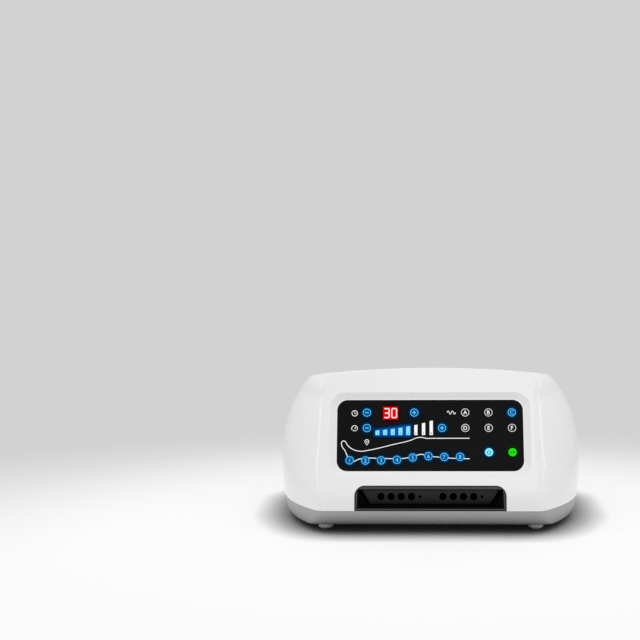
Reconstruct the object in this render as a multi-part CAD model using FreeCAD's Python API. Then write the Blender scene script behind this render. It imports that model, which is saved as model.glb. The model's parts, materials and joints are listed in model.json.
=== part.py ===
"""Air compression therapy pump: the table unit that inflates a pair of leg sleeves.

A domed white housing stands on a shallow grey tray.  Its sloped face carries a black control panel with
twenty push keys, and a bay under the panel holds two groups of four air ports.  Inside are the panel board,
a row of eight solenoid valves, a vibrating-arm diaphragm air pump and the mains board.

Frame: millimetres, +Z up, origin on the table under the middle of the unit, the control panel faces -Y.
"""
import FreeCAD, Part
import math
import os
from FreeCAD import Placement, Rotation, Vector

# ---------------------------------------------------------------- clearances
FIT_GAP = 0.15              # between fixed moulded parts
KEY_GAP = 0.15              # around and behind a key
RUNNING_GAP = 0.05          # radial, a shaft or plunger in its bore
TONGUE_GAP = 0.4            # between the tray's tongue and the dome's inner wall
DRAWER_GAP = 0.2            # around the fuse drawer and the rocker

# ---------------------------------------------------------------- housing, seen in plan
HALF_DEPTH = 108.0          # front and rear walls at the seam
WIDEST_HALF_WIDTH = 152.8
SEAM_DRAW = 4.3             # the seam is drawn in this far from the widest height
FACE_EDGE = 53.4            # the flat face ends this far from the widest point
CORNER_RADIUS = 14.0        # front corners at the seam
TOP_CORNER_RADIUS = 8.0     # front corners at the top
CORNER_TURN_DEG = 51.0      # the front corners turn this far, long side arcs turn the rest
SHOULDER = 19.0             # the flat face stays this far from the side, near the top
REAR_CORNER_RADIUS = 36.0

# ---------------------------------------------------------------- housing, seen from the front and side
SEAM_HEIGHT = 23.0
TOP_HEIGHT = 154.4          # the crown's highest line, where it meets the sloped face
WIDEST_HEIGHT = 59.0
FLANK_TURN_DEG = 51.8       # the sides turn inwards this far from the widest height to the top
CHIN_RADIUS = 60.0          # rounds the upright seam into the sloped face
FACE_TILT_DEG = 20.0        # the control face leans back from upright
TOP_FALL_DEG = 6.0          # the top slopes down to the rear
CROWN_RADIUS = 1030.0       # the top is slightly arched from side to side
REAR_LEAN_DEG = 3.0
RIM_FILLET = 2.6
WALL = 2.6
CHIN_STEPS = 3              # the skins are ruled between outlines: this many steps round the chin,
FLANK_STEPS = 6             # this many up the sides outside
INNER_FLANK_STEPS = 4       # and this many inside
RIM_BAND = 34.0             # this far below the top the outer skin becomes a smooth loft, to round its rim
RIM_STEPS = 4

# ---------------------------------------------------------------- tray
TRAY_BASE = 6.5             # underside above the table
TRAY_STEP = 0.6             # the tray stands this far inside the dome's edge
TRAY_TUCK_FRONT = 20.0      # the underside is drawn in by these amounts
TRAY_TUCK_SIDE = 5.0
TRAY_TUCK_REAR = 8.0
TRAY_FLAT_MORE = 8.6        # the underside's straight front edge passes the face's by this at each end
TRAY_CORNER_RADIUS = 14.0   # front corners of the underside
TRAY_CORNER_TURN_DEG = 60.0
TRAY_STEPS = 8              # ruled steps round the tray's lower edge, outside and inside
TRAY_INNER_STEPS = 4
TONGUE_DEPTH = 4.0          # the tongue reaches this far below and above the seam
TONGUE_HEIGHT = 3.0
TONGUE_THICK = 1.5

# ---------------------------------------------------------------- control panel
PANEL_WIDTH = 178.2
PANEL_HEIGHT = 69.2
PANEL_RADIUS = 10.0
PANEL_CENTRE = 52.15        # up the sloped face from the end of the chin
LENS_THICK = 2.0
LIP_WIDTH = 1.2             # flat lip between the panel and the bevel
BEVEL_DEPTH = 3.5
BEVEL_WIDTH = 5.6
BEVEL_RADIUS = 14.8         # at the bevel's outer edge
BEVEL_BACKING = 4.0         # the wall behind the bevel reaches this far outside it
LEDGE_WIDTH = 4.0
LEDGE_THICK = 2.4

KEY_RADIUS = 4.5            # command keys
CHAMBER_KEY_RADIUS = 4.2
KEY_TRAVEL = 0.5
KEY_EAR_LENGTH = 11.4
KEY_EAR_WIDTH = 3.4
KEY_EAR_THICK = 0.8
KEY_STEM = 2.6
TOP_ROW = 22.3              # heights on the panel, from its middle
SECOND_ROW = 7.2
START_ROW = -16.4
MINUS_COLUMN = -60.6
TIME_PLUS_COLUMN = -15.0
PRESSURE_PLUS_COLUMN = 11.6
MODE_COLUMNS = (33.9, 56.2, 78.5)
CHAMBER_FIRST = -76.8
CHAMBER_PITCH = 15.06
CHAMBER_HEIGHTS = (-24.2, -24.4, -24.2, -23.7, -21.5, -20.2, -20.9, -20.8)
DIGIT_CENTRE = (-37.9, 21.8)
DIGIT_SIZE = (14.6, 12.6)
BAR_FIRST = -50.4
BAR_PITCH = 7.38
BAR_WIDTH = 3.8
BAR_BASE = 0.3
BAR_HEIGHTS = (4.8, 5.5, 6.3, 7.4, 8.8, 10.2, 12.0, 14.2)
BAR_SLANT = 0.7             # the bars' tops rise this much to the right

GUIDE_THICK = 2.0
GUIDE_MARGIN = 2.0          # the guide's flange reaches this far past the panel
SWITCH_SIZE = 6.0
SWITCH_HEIGHT = 3.5
SWITCH_DROP = 1.0           # switch tops behind the guide
BOARD_THICK = 1.6
BOARD_POST_RADIUS = 2.6
BOARD_POST_INSET = 3.0
BOARD_HOLE_RADIUS = 1.6

# ---------------------------------------------------------------- air ports
BAY_HALF_WIDTH = 71.6
BAY_TOP = 46.3
BAY_RADIUS = 9.5
BAY_RIM = 2.75
BAY_RIM_DEPTH = 7.5
BAY_LIP = 3.0
BAY_SKIN = 2.4
BAY_WALL_Y = -90.0          # front face of the bay's back wall
BAY_BACK_TOP = 39.6
BAY_BACK_RISE = 0.3         # the bay's floor rises this much to the rear
BAY_BACK_HALF_TOP = 65.2
BAY_BACK_HALF_BOTTOM = 57.0
BAY_FIXING = (66.0, -82.0)
BAY_EAR_RADIUS = 4.0
BAY_EAR_THICK = 2.0
BAY_EAR_START = 61.0
PORT_HEIGHT = 33.4
PORT_RADIUS = 3.0
PORT_CHAMFER = 0.6
PORT_DEPTH = 8.0
PORT_PITCH = 9.75
PORT_COUNT = 4
PORT_STARTS = (-47.2, 12.15)
KEYWAY_OFFSET = 7.85        # locating hole beyond the last port of a group
KEYWAY_RADIUS = 1.4
KEYWAY_DEPTH = 6.0
BLOCK_DEPTH = 10.0
BLOCK_HALF_HEIGHT = 5.0
BLOCK_MARGIN = 5.5
BARB_RADIUS = 2.1
BARB_BORE = 1.3
BARB_LENGTH = 7.0
HOSE_RADIUS = 3.2
HOSE_GAP = 0.5              # between a hose's end and the face behind its barb
HOSE_BEND = 15.0

# ---------------------------------------------------------------- valves
MANIFOLD_Y = -48.0          # front face
MANIFOLD_DEPTH = 22.0
MANIFOLD_HEIGHT = 13.0
MANIFOLD_MARGIN = 7.0       # beyond the first and last air line
MANIFOLD_FOOT = 8.0
VALVE_WIDTH = 9.2
VALVE_DEPTH = 18.0
VALVE_HEIGHT = 24.0
PLUNGER_RADIUS = 2.15
PLUNGER_LENGTH = 15.0
PLUNGER_TRAVEL = 1.2
PLUNGER_REST = 0.1          # above the floor of its bore
BORE_FLOOR = 1.0

# ---------------------------------------------------------------- air pump
PUMP_CENTRE = (-62.0, 40.0)
PUMP_LENGTH = 118.0
PUMP_WIDTH = 56.0
PUMP_PLATE_Z = 16.0
PUMP_PLATE = 2.0
PUMP_MOUNT_RADIUS = 5.0
PUMP_MOUNT_INSET = 7.0
CORE_LENGTH = 34.0
CORE_WIDTH = 26.0
CORE_HEIGHT = 44.0
CORE_WAIST = 12.0
CORE_SHOE = 8.0             # height of the core's foot and head
COIL_BULGE = 8.0
COIL_GAP = 0.5
COIL_HALF_LENGTH = 15.0
ARM_OFFSET = 25.0           # arm pivots from the pump's middle
ARM_THICK = 4.0
ARM_WIDTH = 22.0
ARM_HEIGHT = 34.0
MAGNET_SIZE = (4.0, 16.0, 14.0)
PIVOT_RADIUS = 1.6
PIVOT_RISE = 7.0            # above the pump plate
PIVOT_HUB = 3.4
PIVOT_EAR = 2.0
PIVOT_EAR_HALF = 5.0
PIVOT_SIDE_GAP = 0.6
PIN_OVERHANG = 1.0
HEAD_OFFSET = 37.0
HEAD_LENGTH = 18.0
HEAD_WIDTH = 34.0
HEAD_HEIGHT = 42.0
BELL_HEIGHT = 24.0          # the bells' middle above the pump plate
BELL_RADIUS = 12.0
BELL_NECK_RADIUS = 6.0
BELL_NECK = 4.0             # length
BELL_SEAT = 3.0             # depth of the bell's seat in the head

# ---------------------------------------------------------------- electronics and mains
MAIN_BOARD_SIZE = (96.0, 84.0)
MAIN_BOARD_SIDE = 30.5      # the board's right edge inside the seam
MAIN_BOARD_Y = -8.0         # its front edge
MAIN_BOARD_Z = 17.0
MAIN_POST_RADIUS = 3.4
MAIN_POST_INSET = 5.0
BOARD_BLOCKS = ((8, 38, 30, 56, 26), (46, 72, 70, 74, 30), (6, 40, 6, 14, 12), (52, 68, 8, 24, 2))
BOARD_CANS = ((52, 42, 8, 26), (72, 42, 8, 26), (80, 16, 5, 16))
INLET_CENTRE = (84.0, 62.0)
INLET_SIZE = (27.0, 47.0)
INLET_DEPTH = 24.0
INLET_FLANGE = (34.0, 58.0)
INLET_FLANGE_THICK = 2.4
INLET_PAD = (40.0, 64.0)
INLET_PAD_DEPTH = 3.0
INLET_CAVITY_DEPTH = 15.0
SOCKET_WELL = (-12.0, 12.0, -22.0, -6.0)
DRAWER_WELL = (-10.2, 10.2, -3.6, 4.6)
ROCKER_WELL = (-10.2, 10.2, 8.0, 21.0)
BLADE_SPOTS = ((-7.0, -16.0), (7.0, -16.0), (0.0, -12.0))
BLADE_HALF = (1.0, 2.0)
BLADE_SETBACK = 1.0         # blade tips behind the flange's face
DRAWER_GRIP = (3.0, 1.2, 2.0)
ROCKER_TILT_DEG = 10.0      # each way from level
ROCKER_HALF = 5.8
ROCKER_PIVOT_DEPTH = 3.0    # behind the flange's face
ROCKER_PIVOT_RADIUS = 1.2
ROCKER_PIN_REACH = 1.5      # the pivot pins' depth in the walls
ROCKER_FRONT = 3.6          # the rocker's edges, hollow and back from its pivot
ROCKER_HOLLOW = 2.6
ROCKER_BACK = 3.0

# ---------------------------------------------------------------- feet, screws and vents
FOOT_INSET = (47.0, 34.0)   # the feet stand this far inside the seam
FOOT_RADIUS = 8.0
FOOT_TIP_RADIUS = 5.0
FOOT_KNEE = (7.0, 1.5)      # radius and height where the foot's edge turns
FOOT_RECESS = 1.2
FOOT_PEG_RADIUS = 2.5
FOOT_PEG_LENGTH = 4.1
FRONT_SCREW_INSET = (32.5, 58.0)    # the housing screws' insets from the seam
REAR_SCREW_INSET = (22.5, 30.0)
MIDDLE_SCREW_INSET = 16.0
BOSS_RADIUS = 4.2
BOSS_HEIGHT = 22.0
BOSS_WEB = 2.0
BOSS_WEB_REACH = 40.0
POST_RADIUS = 5.6           # the tray's screw posts
SCREW_RADIUS = 1.4          # a screw's shank fills its pilot hole
SCREW_CLEAR = 0.35
SCREW_LENGTH = 24.0
SCREW_SINK = 9.0            # the housing screws' heads are sunk this deep
SCREW_HEAD_RADIUS = 2.8
SCREW_HEAD_HEIGHT = 2.0
BAY_SCREW_LENGTH = 10.0
VENT_COUNT = 12
VENT_PITCH = 6.4
VENT_WIDTH = 2.6
VENT_HEIGHT = 34.0
VENT_MIDDLE = (-70.8, 69.0)
FLOOR_VENT_COUNT = 9
FLOOR_VENT_PITCH = 7.0
FLOOR_VENT_LENGTH = 44.0
FLOOR_VENT_MIDDLE = (-62.0, 39.0)

FAR = 400.0                 # longer than anything in the unit
OVER = 1.0                  # a cutter reaches this far past what it cuts

# ---------------------------------------------------------------- worked-out places
TILT = math.radians(FACE_TILT_DEG)
TURN = math.radians(CORNER_TURN_DEG)
TRAY_TURN = math.radians(TRAY_CORNER_TURN_DEG)
SEAM_HALF_WIDTH = WIDEST_HALF_WIDTH - SEAM_DRAW
FACE_HALF_FLAT = WIDEST_HALF_WIDTH - FACE_EDGE
TRAY_FLAT = FACE_HALF_FLAT + TRAY_FLAT_MORE
FLANK_RADIUS = (TOP_HEIGHT - WIDEST_HEIGHT) / math.sin(math.radians(FLANK_TURN_DEG))
CHIN_TOP = SEAM_HEIGHT + CHIN_RADIUS * math.sin(TILT)
CHIN_TOP_Y = -HALF_DEPTH + CHIN_RADIUS * (1 - math.cos(TILT))
TRAY_FLOOR = TRAY_BASE + WALL
LENS_FACE = -BEVEL_DEPTH    # distances out of the sloped face
LENS_BACK = LENS_FACE - LENS_THICK
LEDGE_BACK = LENS_BACK - LEDGE_THICK
EAR_FRONT = LENS_BACK - KEY_GAP
EAR_BACK = EAR_FRONT - KEY_EAR_THICK
GUIDE_FRONT = EAR_BACK - KEY_TRAVEL - KEY_GAP
GUIDE_BACK = LEDGE_BACK - GUIDE_THICK
SWITCH_TOP = GUIDE_BACK - SWITCH_DROP
STEM_END = SWITCH_TOP + KEY_TRAVEL + KEY_GAP
PANEL_BOARD_FRONT = SWITCH_TOP - SWITCH_HEIGHT
PANEL_BOARD_BACK = PANEL_BOARD_FRONT - BOARD_THICK
PORT_COLUMNS = [start + i * PORT_PITCH for start in PORT_STARTS for i in range(PORT_COUNT)]
KEYWAY_COLUMNS = [start + (PORT_COUNT - 1) * PORT_PITCH + KEYWAY_OFFSET for start in PORT_STARTS]
BAY_WALL_BACK = BAY_WALL_Y + BAY_SKIN
BLOCK_BACK = BAY_WALL_Y + BLOCK_DEPTH
MANIFOLD_BACK = MANIFOLD_Y + MANIFOLD_DEPTH
MANIFOLD_MIDDLE = MANIFOLD_Y + MANIFOLD_DEPTH / 2
MANIFOLD_BASE = PORT_HEIGHT - MANIFOLD_HEIGHT / 2
MANIFOLD_TOP = PORT_HEIGHT + MANIFOLD_HEIGHT / 2
MANIFOLD_LEFT = PORT_COLUMNS[0] - MANIFOLD_MARGIN
MANIFOLD_RIGHT = PORT_COLUMNS[-1] + MANIFOLD_MARGIN
PUMP_TOP = PUMP_PLATE_Z + PUMP_PLATE
HEAD_COLUMNS = [PUMP_CENTRE[0] + side * (HEAD_OFFSET + HEAD_LENGTH / 2) for side in (-1, 1)]
HEAD_FRONT = PUMP_CENTRE[1] - HEAD_WIDTH / 2
INLET_RISE = INLET_CENTRE[1] - SEAM_HEIGHT
INLET_Y = HALF_DEPTH - INLET_PAD_DEPTH - INLET_RISE * math.tan(math.radians(REAR_LEAN_DEG))
INLET_FACE = INLET_Y + INLET_FLANGE_THICK
FRONT_SCREW = (SEAM_HALF_WIDTH - FRONT_SCREW_INSET[0], FRONT_SCREW_INSET[1] - HALF_DEPTH)
REAR_SCREW = (SEAM_HALF_WIDTH - REAR_SCREW_INSET[0], HALF_DEPTH - REAR_SCREW_INSET[1])
HOUSING_SCREWS = [(side * x, y) for x, y in (FRONT_SCREW, REAR_SCREW) for side in (-1, 1)]
HOUSING_SCREWS.append((0.0, HALF_DEPTH - MIDDLE_SCREW_INSET))
BAY_SCREWS = [(side * BAY_FIXING[0], BAY_FIXING[1]) for side in (-1, 1)]
FOOT_X, FOOT_Y = SEAM_HALF_WIDTH - FOOT_INSET[0], HALF_DEPTH - FOOT_INSET[1]
FEET = [(i * FOOT_X, j * FOOT_Y) for i in (-1, 1) for j in (-1, 1)]
MAIN_BOARD_RIGHT = SEAM_HALF_WIDTH - MAIN_BOARD_SIDE
MAIN_BOARD = (MAIN_BOARD_RIGHT - MAIN_BOARD_SIZE[0], MAIN_BOARD_RIGHT,
              MAIN_BOARD_Y, MAIN_BOARD_Y + MAIN_BOARD_SIZE[1])
DOME_PEAK = TOP_HEIGHT + 3 * RIM_FILLET     # the dome's loft reaches here before its top is cut


# ---------------------------------------------------------------- helpers
def box(x0, x1, y0, y1, z0, z1):
    """A block between two corners, given in any order."""
    low = Vector(min(x0, x1), min(y0, y1), min(z0, z1))
    return Part.makeBox(abs(x1 - x0), abs(y1 - y0), abs(z1 - z0), low)


def block(x, y, z0, width, depth, height):
    """A block centred on x and y that stands on z0."""
    return Part.makeBox(width, depth, height, Vector(x - width / 2, y - depth / 2, z0))


def rod(x, y, z, radius, length, along=(0, 0, 1)):
    """A cylinder from a point along a direction."""
    return Part.makeCylinder(radius, length, Vector(x, y, z), Vector(*along))


def fuse(shapes):
    """One solid from shapes that overlap or touch."""
    shapes = list(shapes)
    return shapes[0].fuse(shapes[1:]).removeSplitter()


def group(shapes):
    """Separate solids that share a node."""
    return Part.makeCompound(list(shapes))


def closed_face(edges):
    """The face inside a ring of edges given in order."""
    return Part.Face(Part.Wire([edge.toShape() for edge in edges]))


def line(a, b):
    return Part.LineSegment(a, b)


def rounded_wire(half_x, half_y, radius, z):
    """A rectangle with round corners, centred on the Z axis."""
    edges = []
    ends = []
    for sx, sy, start in ((1, -1, -90), (1, 1, 0), (-1, 1, 90), (-1, -1, 180)):
        middle = Vector(sx * (half_x - radius), sy * (half_y - radius), z)
        turns = [math.radians(start + step) for step in (0, 45, 90)]
        points = [middle + Vector(radius * math.cos(t), radius * math.sin(t), 0) for t in turns]
        edges.append(Part.Arc(*points))
        ends.append((points[0], points[2]))
    sides = [line(ends[i][1], ends[(i + 1) % 4][0]) for i in range(4)]
    ring = [edge.toShape() for pair in zip(edges, sides) for edge in pair]
    return Part.Wire(ring)


def rounded_plate(half_x, half_y, radius, z0, z1):
    """A plate with round corners between two heights."""
    return Part.Face(rounded_wire(half_x, half_y, radius, z0)).extrude(Vector(0, 0, z1 - z0))


def on_face(shape):
    """Moves a shape from the panel's own frame (x, up the slope, outwards) to the unit's frame."""
    middle = Vector(0, CHIN_TOP_Y, CHIN_TOP) + Vector(0, math.sin(TILT), math.cos(TILT)) * PANEL_CENTRE
    placed = shape.copy()
    placed.Placement = Placement(middle, Rotation(Vector(1, 0, 0), 90 - FACE_TILT_DEG)) * placed.Placement
    return placed


# ---------------------------------------------------------------- housing form
def half_width(z):
    """Half the dome's width at a height."""
    if z > WIDEST_HEIGHT:
        return WIDEST_HALF_WIDTH - FLANK_RADIUS + math.sqrt(FLANK_RADIUS ** 2 - (z - WIDEST_HEIGHT) ** 2)
    share = (WIDEST_HEIGHT - z) / (WIDEST_HEIGHT - SEAM_HEIGHT)
    return WIDEST_HALF_WIDTH - (WIDEST_HALF_WIDTH - SEAM_HALF_WIDTH) * share ** 2


def front_y(z):
    """The front of the dome at a height: a round chin, then the flat sloped face."""
    if z < CHIN_TOP:
        return -HALF_DEPTH + CHIN_RADIUS - math.sqrt(CHIN_RADIUS ** 2 - (z - SEAM_HEIGHT) ** 2)
    return CHIN_TOP_Y + (z - CHIN_TOP) * math.tan(TILT)


def rear_y(z):
    """The rear wall at a height."""
    return HALF_DEPTH - (z - SEAM_HEIGHT) * math.tan(math.radians(REAR_LEAN_DEG))


def corner_radius(z):
    """The plan radius of the front corners, smaller towards the top."""
    share = min(1.0, max(0.0, (z - WIDEST_HEIGHT) / (TOP_HEIGHT - WIDEST_HEIGHT)))
    return CORNER_RADIUS + (TOP_CORNER_RADIUS - CORNER_RADIUS) * share


def plan_wire(half, flat, front, rear, radius, rear_radius, z, turn=TURN):
    """The unit's plan outline: flat front, front corners, long side arcs, straight sides and flat rear."""
    side_radius = (half - flat - radius * math.sin(turn)) / (1 - math.sin(turn))
    knee_y = front + radius * (1 - math.cos(turn))
    widest_y = knee_y + side_radius * math.cos(turn)
    corner = Vector(flat, front + radius, z)
    flank = Vector(half - side_radius, widest_y, z)
    rear_corner = Vector(half - rear_radius, rear - rear_radius, z)

    def at(middle, reach, angle):
        return middle + Vector(reach * math.sin(angle), -reach * math.cos(angle), 0)

    right = [at(corner, radius, 0), at(corner, radius, turn / 2), at(corner, radius, turn),
             at(flank, side_radius, (turn + math.pi / 2) / 2), at(flank, side_radius, math.pi / 2),
             at(rear_corner, rear_radius, math.pi / 2), at(rear_corner, rear_radius, 3 * math.pi / 4),
             at(rear_corner, rear_radius, math.pi)]
    left = [Vector(-p.x, p.y, p.z) for p in right]
    edges = [line(left[0], right[0]), Part.Arc(*right[0:3]), Part.Arc(*right[2:5]), line(*right[4:6]),
             Part.Arc(*right[5:8]), line(right[7], left[7]), Part.Arc(left[7], left[6], left[5]),
             line(left[5], left[4]), Part.Arc(left[4], left[3], left[2]), Part.Arc(left[2], left[1], left[0])]
    return Part.Wire([edge.toShape() for edge in edges])


def dome_section(z, inset):
    """The dome's outline at a height, moved inwards for the inner skin."""
    half = half_width(z)
    flat = min(FACE_HALF_FLAT, half - SHOULDER)
    return plan_wire(half - inset, flat, front_y(z) + inset / math.cos(TILT), rear_y(z) - inset,
                     corner_radius(z) - inset, REAR_CORNER_RADIUS - inset, z)


def under_crown(drop):
    """Everything below the arched, falling top surface, lowered by drop."""
    front = -1.2 * HALF_DEPTH
    length = -2.4 * front
    fall = math.tan(math.radians(TOP_FALL_DEG))
    peak = TOP_HEIGHT + (front_y(TOP_HEIGHT) - front) * fall - drop
    side = 1.2 * WIDEST_HALF_WIDTH
    shoulder = peak - CROWN_RADIUS + math.sqrt(CROWN_RADIUS ** 2 - side ** 2)
    right, left = Vector(side, front, shoulder), Vector(-side, front, shoulder)
    low_right, low_left = Vector(side, front, -FAR), Vector(-side, front, -FAR)
    face = closed_face([Part.Arc(left, Vector(0, front, peak), right), line(right, low_right),
                        line(low_right, low_left), line(low_left, left)])
    return face.extrude(Vector(0, length, -length * fall))


def skin_loft(heights, inset, ruled):
    """The dome's skin as a solid between outlines at these heights."""
    return Part.makeLoft([dome_section(z, inset) for z in heights], True, ruled)


def flank_heights(low, high, steps):
    """Heights at even turns of the flank between two heights."""
    first, last = (math.asin((z - WIDEST_HEIGHT) / FLANK_RADIUS) for z in (low, high))
    turns = [first + (last - first) * i / steps for i in range(steps + 1)]
    return [WIDEST_HEIGHT + FLANK_RADIUS * math.sin(turn) for turn in turns]


def dome(inset, flank_steps, ruled_rim):
    """The dome as a solid, its skin moved inwards by inset."""
    chin = [SEAM_HEIGHT + CHIN_RADIUS * math.sin(TILT * i / CHIN_STEPS) for i in range(CHIN_STEPS + 1)]
    sides = flank_heights(WIDEST_HEIGHT, TOP_HEIGHT - RIM_BAND, flank_steps)
    band = skin_loft(flank_heights(TOP_HEIGHT - RIM_BAND, DOME_PEAK, RIM_STEPS), inset, ruled_rim)
    body = skin_loft(chin + sides, inset, True).fuse(band)
    return body.common(under_crown(inset)).removeSplitter().Solids[0]


def outer_dome():
    """The dome's outer form, with its crisp top rim slightly rounded."""
    body = dome(0.0, FLANK_STEPS, False)
    high_faces = [face for face in body.Faces if face.CenterOfMass.z > WIDEST_HEIGHT]
    crown = max(high_faces, key=lambda face: face.Area)
    return body.makeFillet(RIM_FILLET, crown.Edges)


def tray_section(lean, inset):
    """The tray's outline where its skin has turned by lean, from upright at the seam to flat underneath."""
    z = SEAM_HEIGHT - (SEAM_HEIGHT - TRAY_BASE - inset) * math.sin(lean)
    share = 1 - math.cos(lean)

    def drawn_in(tuck):
        return TRAY_STEP + inset + (tuck - inset) * share

    flat = FACE_HALF_FLAT + (TRAY_FLAT - FACE_HALF_FLAT) * share
    radius = CORNER_RADIUS - TRAY_STEP + (TRAY_CORNER_RADIUS - CORNER_RADIUS) * share - inset
    rear_radius = REAR_CORNER_RADIUS - drawn_in(TRAY_TUCK_REAR)
    turn = TURN + (TRAY_TURN - TURN) * share
    return plan_wire(SEAM_HALF_WIDTH - drawn_in(TRAY_TUCK_SIDE), flat,
                     -HALF_DEPTH + drawn_in(TRAY_TUCK_FRONT), HALF_DEPTH - drawn_in(TRAY_TUCK_REAR),
                     radius, rear_radius, z, turn)


def tray_form(inset, steps):
    """The tray as a solid, its skin moved inwards by inset."""
    return Part.makeLoft([tray_section(math.pi / 2 * i / steps, inset) for i in range(steps + 1)], True, True)


def seam_ring(outer_inset, inner_inset, z0, z1):
    """A ring that follows the seam between two insets."""
    rings = []
    for inset in (outer_inset, inner_inset):
        wire = plan_wire(SEAM_HALF_WIDTH - inset, FACE_HALF_FLAT, -HALF_DEPTH + inset, HALF_DEPTH - inset,
                         CORNER_RADIUS - inset, REAR_CORNER_RADIUS - inset, z0)
        rings.append(Part.Face(wire).extrude(Vector(0, 0, z1 - z0)))
    return rings[0].cut(rings[1])


# ---------------------------------------------------------------- upper shell
def bay_mouth(clear, rear):
    """The bay's mouth as a prism through the front wall, open downwards, back to a rear plane."""
    front = -HALF_DEPTH - OVER
    half, top, radius = BAY_HALF_WIDTH + clear, BAY_TOP + clear, BAY_RADIUS + clear
    cut = radius * (1 - math.sqrt(0.5))
    right = [Vector(half, front, SEAM_HEIGHT), Vector(half, front, top - radius),
             Vector(half - cut, front, top - cut), Vector(half - radius, front, top)]
    left = [Vector(-p.x, p.y, p.z) for p in right]
    face = closed_face([line(left[0], right[0]), line(right[0], right[1]), Part.Arc(*right[1:4]),
                        line(right[3], left[3]), Part.Arc(left[3], left[2], left[1]), line(left[1], left[0])])
    return face.extrude(Vector(0, rear - front, 0))


def panel_pocket(margin):
    """The bevelled recess outside the lip, from the panel's front plane out past the face."""
    wires = []
    for z in (LENS_FACE, OVER):
        share = (z - LENS_FACE) / BEVEL_DEPTH
        grown = LIP_WIDTH + margin + BEVEL_WIDTH * share
        radius = PANEL_RADIUS + margin + (BEVEL_RADIUS - PANEL_RADIUS) * share
        wires.append(rounded_wire(PANEL_WIDTH / 2 + grown, PANEL_HEIGHT / 2 + grown, radius, z))
    return Part.makeLoft(wires, True, True)


def inlet_pad(margin, y0):
    """A block over the inlet's flat pad, grown by margin, from a plane y0 out through the rear wall."""
    (x, z), (width, height) = INLET_CENTRE, INLET_PAD
    half_x, half_z = width / 2 + margin, height / 2 + margin
    return box(x - half_x, x + half_x, y0, HALF_DEPTH + OVER, z - half_z, z + half_z)


def inlet_block(size, y0, y1, margin=0.0):
    """A block centred on the inlet between two planes."""
    (x, z), (width, height) = INLET_CENTRE, size
    half_x, half_z = width / 2 + margin, height / 2 + margin
    return box(x - half_x, x + half_x, y0, y1, z - half_z, z + half_z)


def screw_boss(x, y):
    """A boss for a housing screw, with a web to the nearest wall above the tray's tongue."""
    base, top = SEAM_HEIGHT + TONGUE_HEIGHT + TONGUE_GAP, SEAM_HEIGHT + BOSS_HEIGHT
    boss = rod(x, y, SEAM_HEIGHT, BOSS_RADIUS, BOSS_HEIGHT)
    if x:
        web = box(x, x + math.copysign(BOSS_WEB_REACH, x), y - BOSS_WEB / 2, y + BOSS_WEB / 2, base, top)
    else:
        web = box(x - BOSS_WEB / 2, x + BOSS_WEB / 2, y, y + BOSS_WEB_REACH, base, top)
    return boss.fuse(web)


def rear_vents():
    """Upright slots with round ends through the rear wall, behind the pump."""
    slots = []
    for i in range(VENT_COUNT):
        slot = rounded_plate(VENT_WIDTH / 2, VENT_HEIGHT / 2, VENT_WIDTH / 2 - FIT_GAP, 0, 2 * HALF_DEPTH / 3)
        x = VENT_MIDDLE[0] + (i - (VENT_COUNT - 1) / 2) * VENT_PITCH
        upright = Rotation(Vector(1, 0, 0), 90)
        slot.Placement = Placement(Vector(x, HALF_DEPTH + OVER, VENT_MIDDLE[1]), upright)
        slots.append(slot.common(box(-FAR, FAR, 3 * HALF_DEPTH / 4, FAR, 0, FAR)))
    return slots


def upper_shell(outer):
    """The white dome: a thin shell with the panel recess, the bay's mouth, rear vents and the inlet's pad."""
    shell = outer.cut(dome(WALL, INNER_FLANK_STEPS, True))
    half_x, half_y = PANEL_WIDTH / 2, PANEL_HEIGHT / 2
    frame = rounded_plate(half_x + BEVEL_BACKING, half_y + BEVEL_BACKING, PANEL_RADIUS + BEVEL_BACKING,
                          LEDGE_BACK, LENS_FACE)
    backing = on_face(frame.fuse(panel_pocket(BEVEL_BACKING)))
    added = [backing, inlet_pad(WALL, INLET_Y - WALL)] + [screw_boss(x, y) for x, y in HOUSING_SCREWS]
    shell = shell.fuse([piece.common(outer) for piece in added])
    seat = rounded_plate(half_x + FIT_GAP, half_y + FIT_GAP, PANEL_RADIUS + FIT_GAP, LENS_BACK, LENS_FACE)
    window = rounded_plate(half_x - LEDGE_WIDTH, half_y - LEDGE_WIDTH, PANEL_RADIUS - LEDGE_WIDTH,
                           LEDGE_BACK - FAR / 4, LENS_BACK)
    pilots = [rod(x, y, SEAM_HEIGHT - OVER, SCREW_RADIUS, SCREW_LENGTH) for x, y in HOUSING_SCREWS]
    socket = inlet_block(INLET_SIZE, INLET_Y - WALL - OVER, INLET_Y + OVER, FIT_GAP)
    cuts = [on_face(panel_pocket(0.0)), on_face(seat), inlet_pad(0.0, INLET_Y), socket,
            bay_mouth(FIT_GAP, BAY_WALL_Y)]
    cuts.append(on_face(window).common(box(-FAR, FAR, -FAR, -HALF_DEPTH / 2, 0, FAR)))
    return shell.cut(cuts + pilots + rear_vents())


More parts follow.
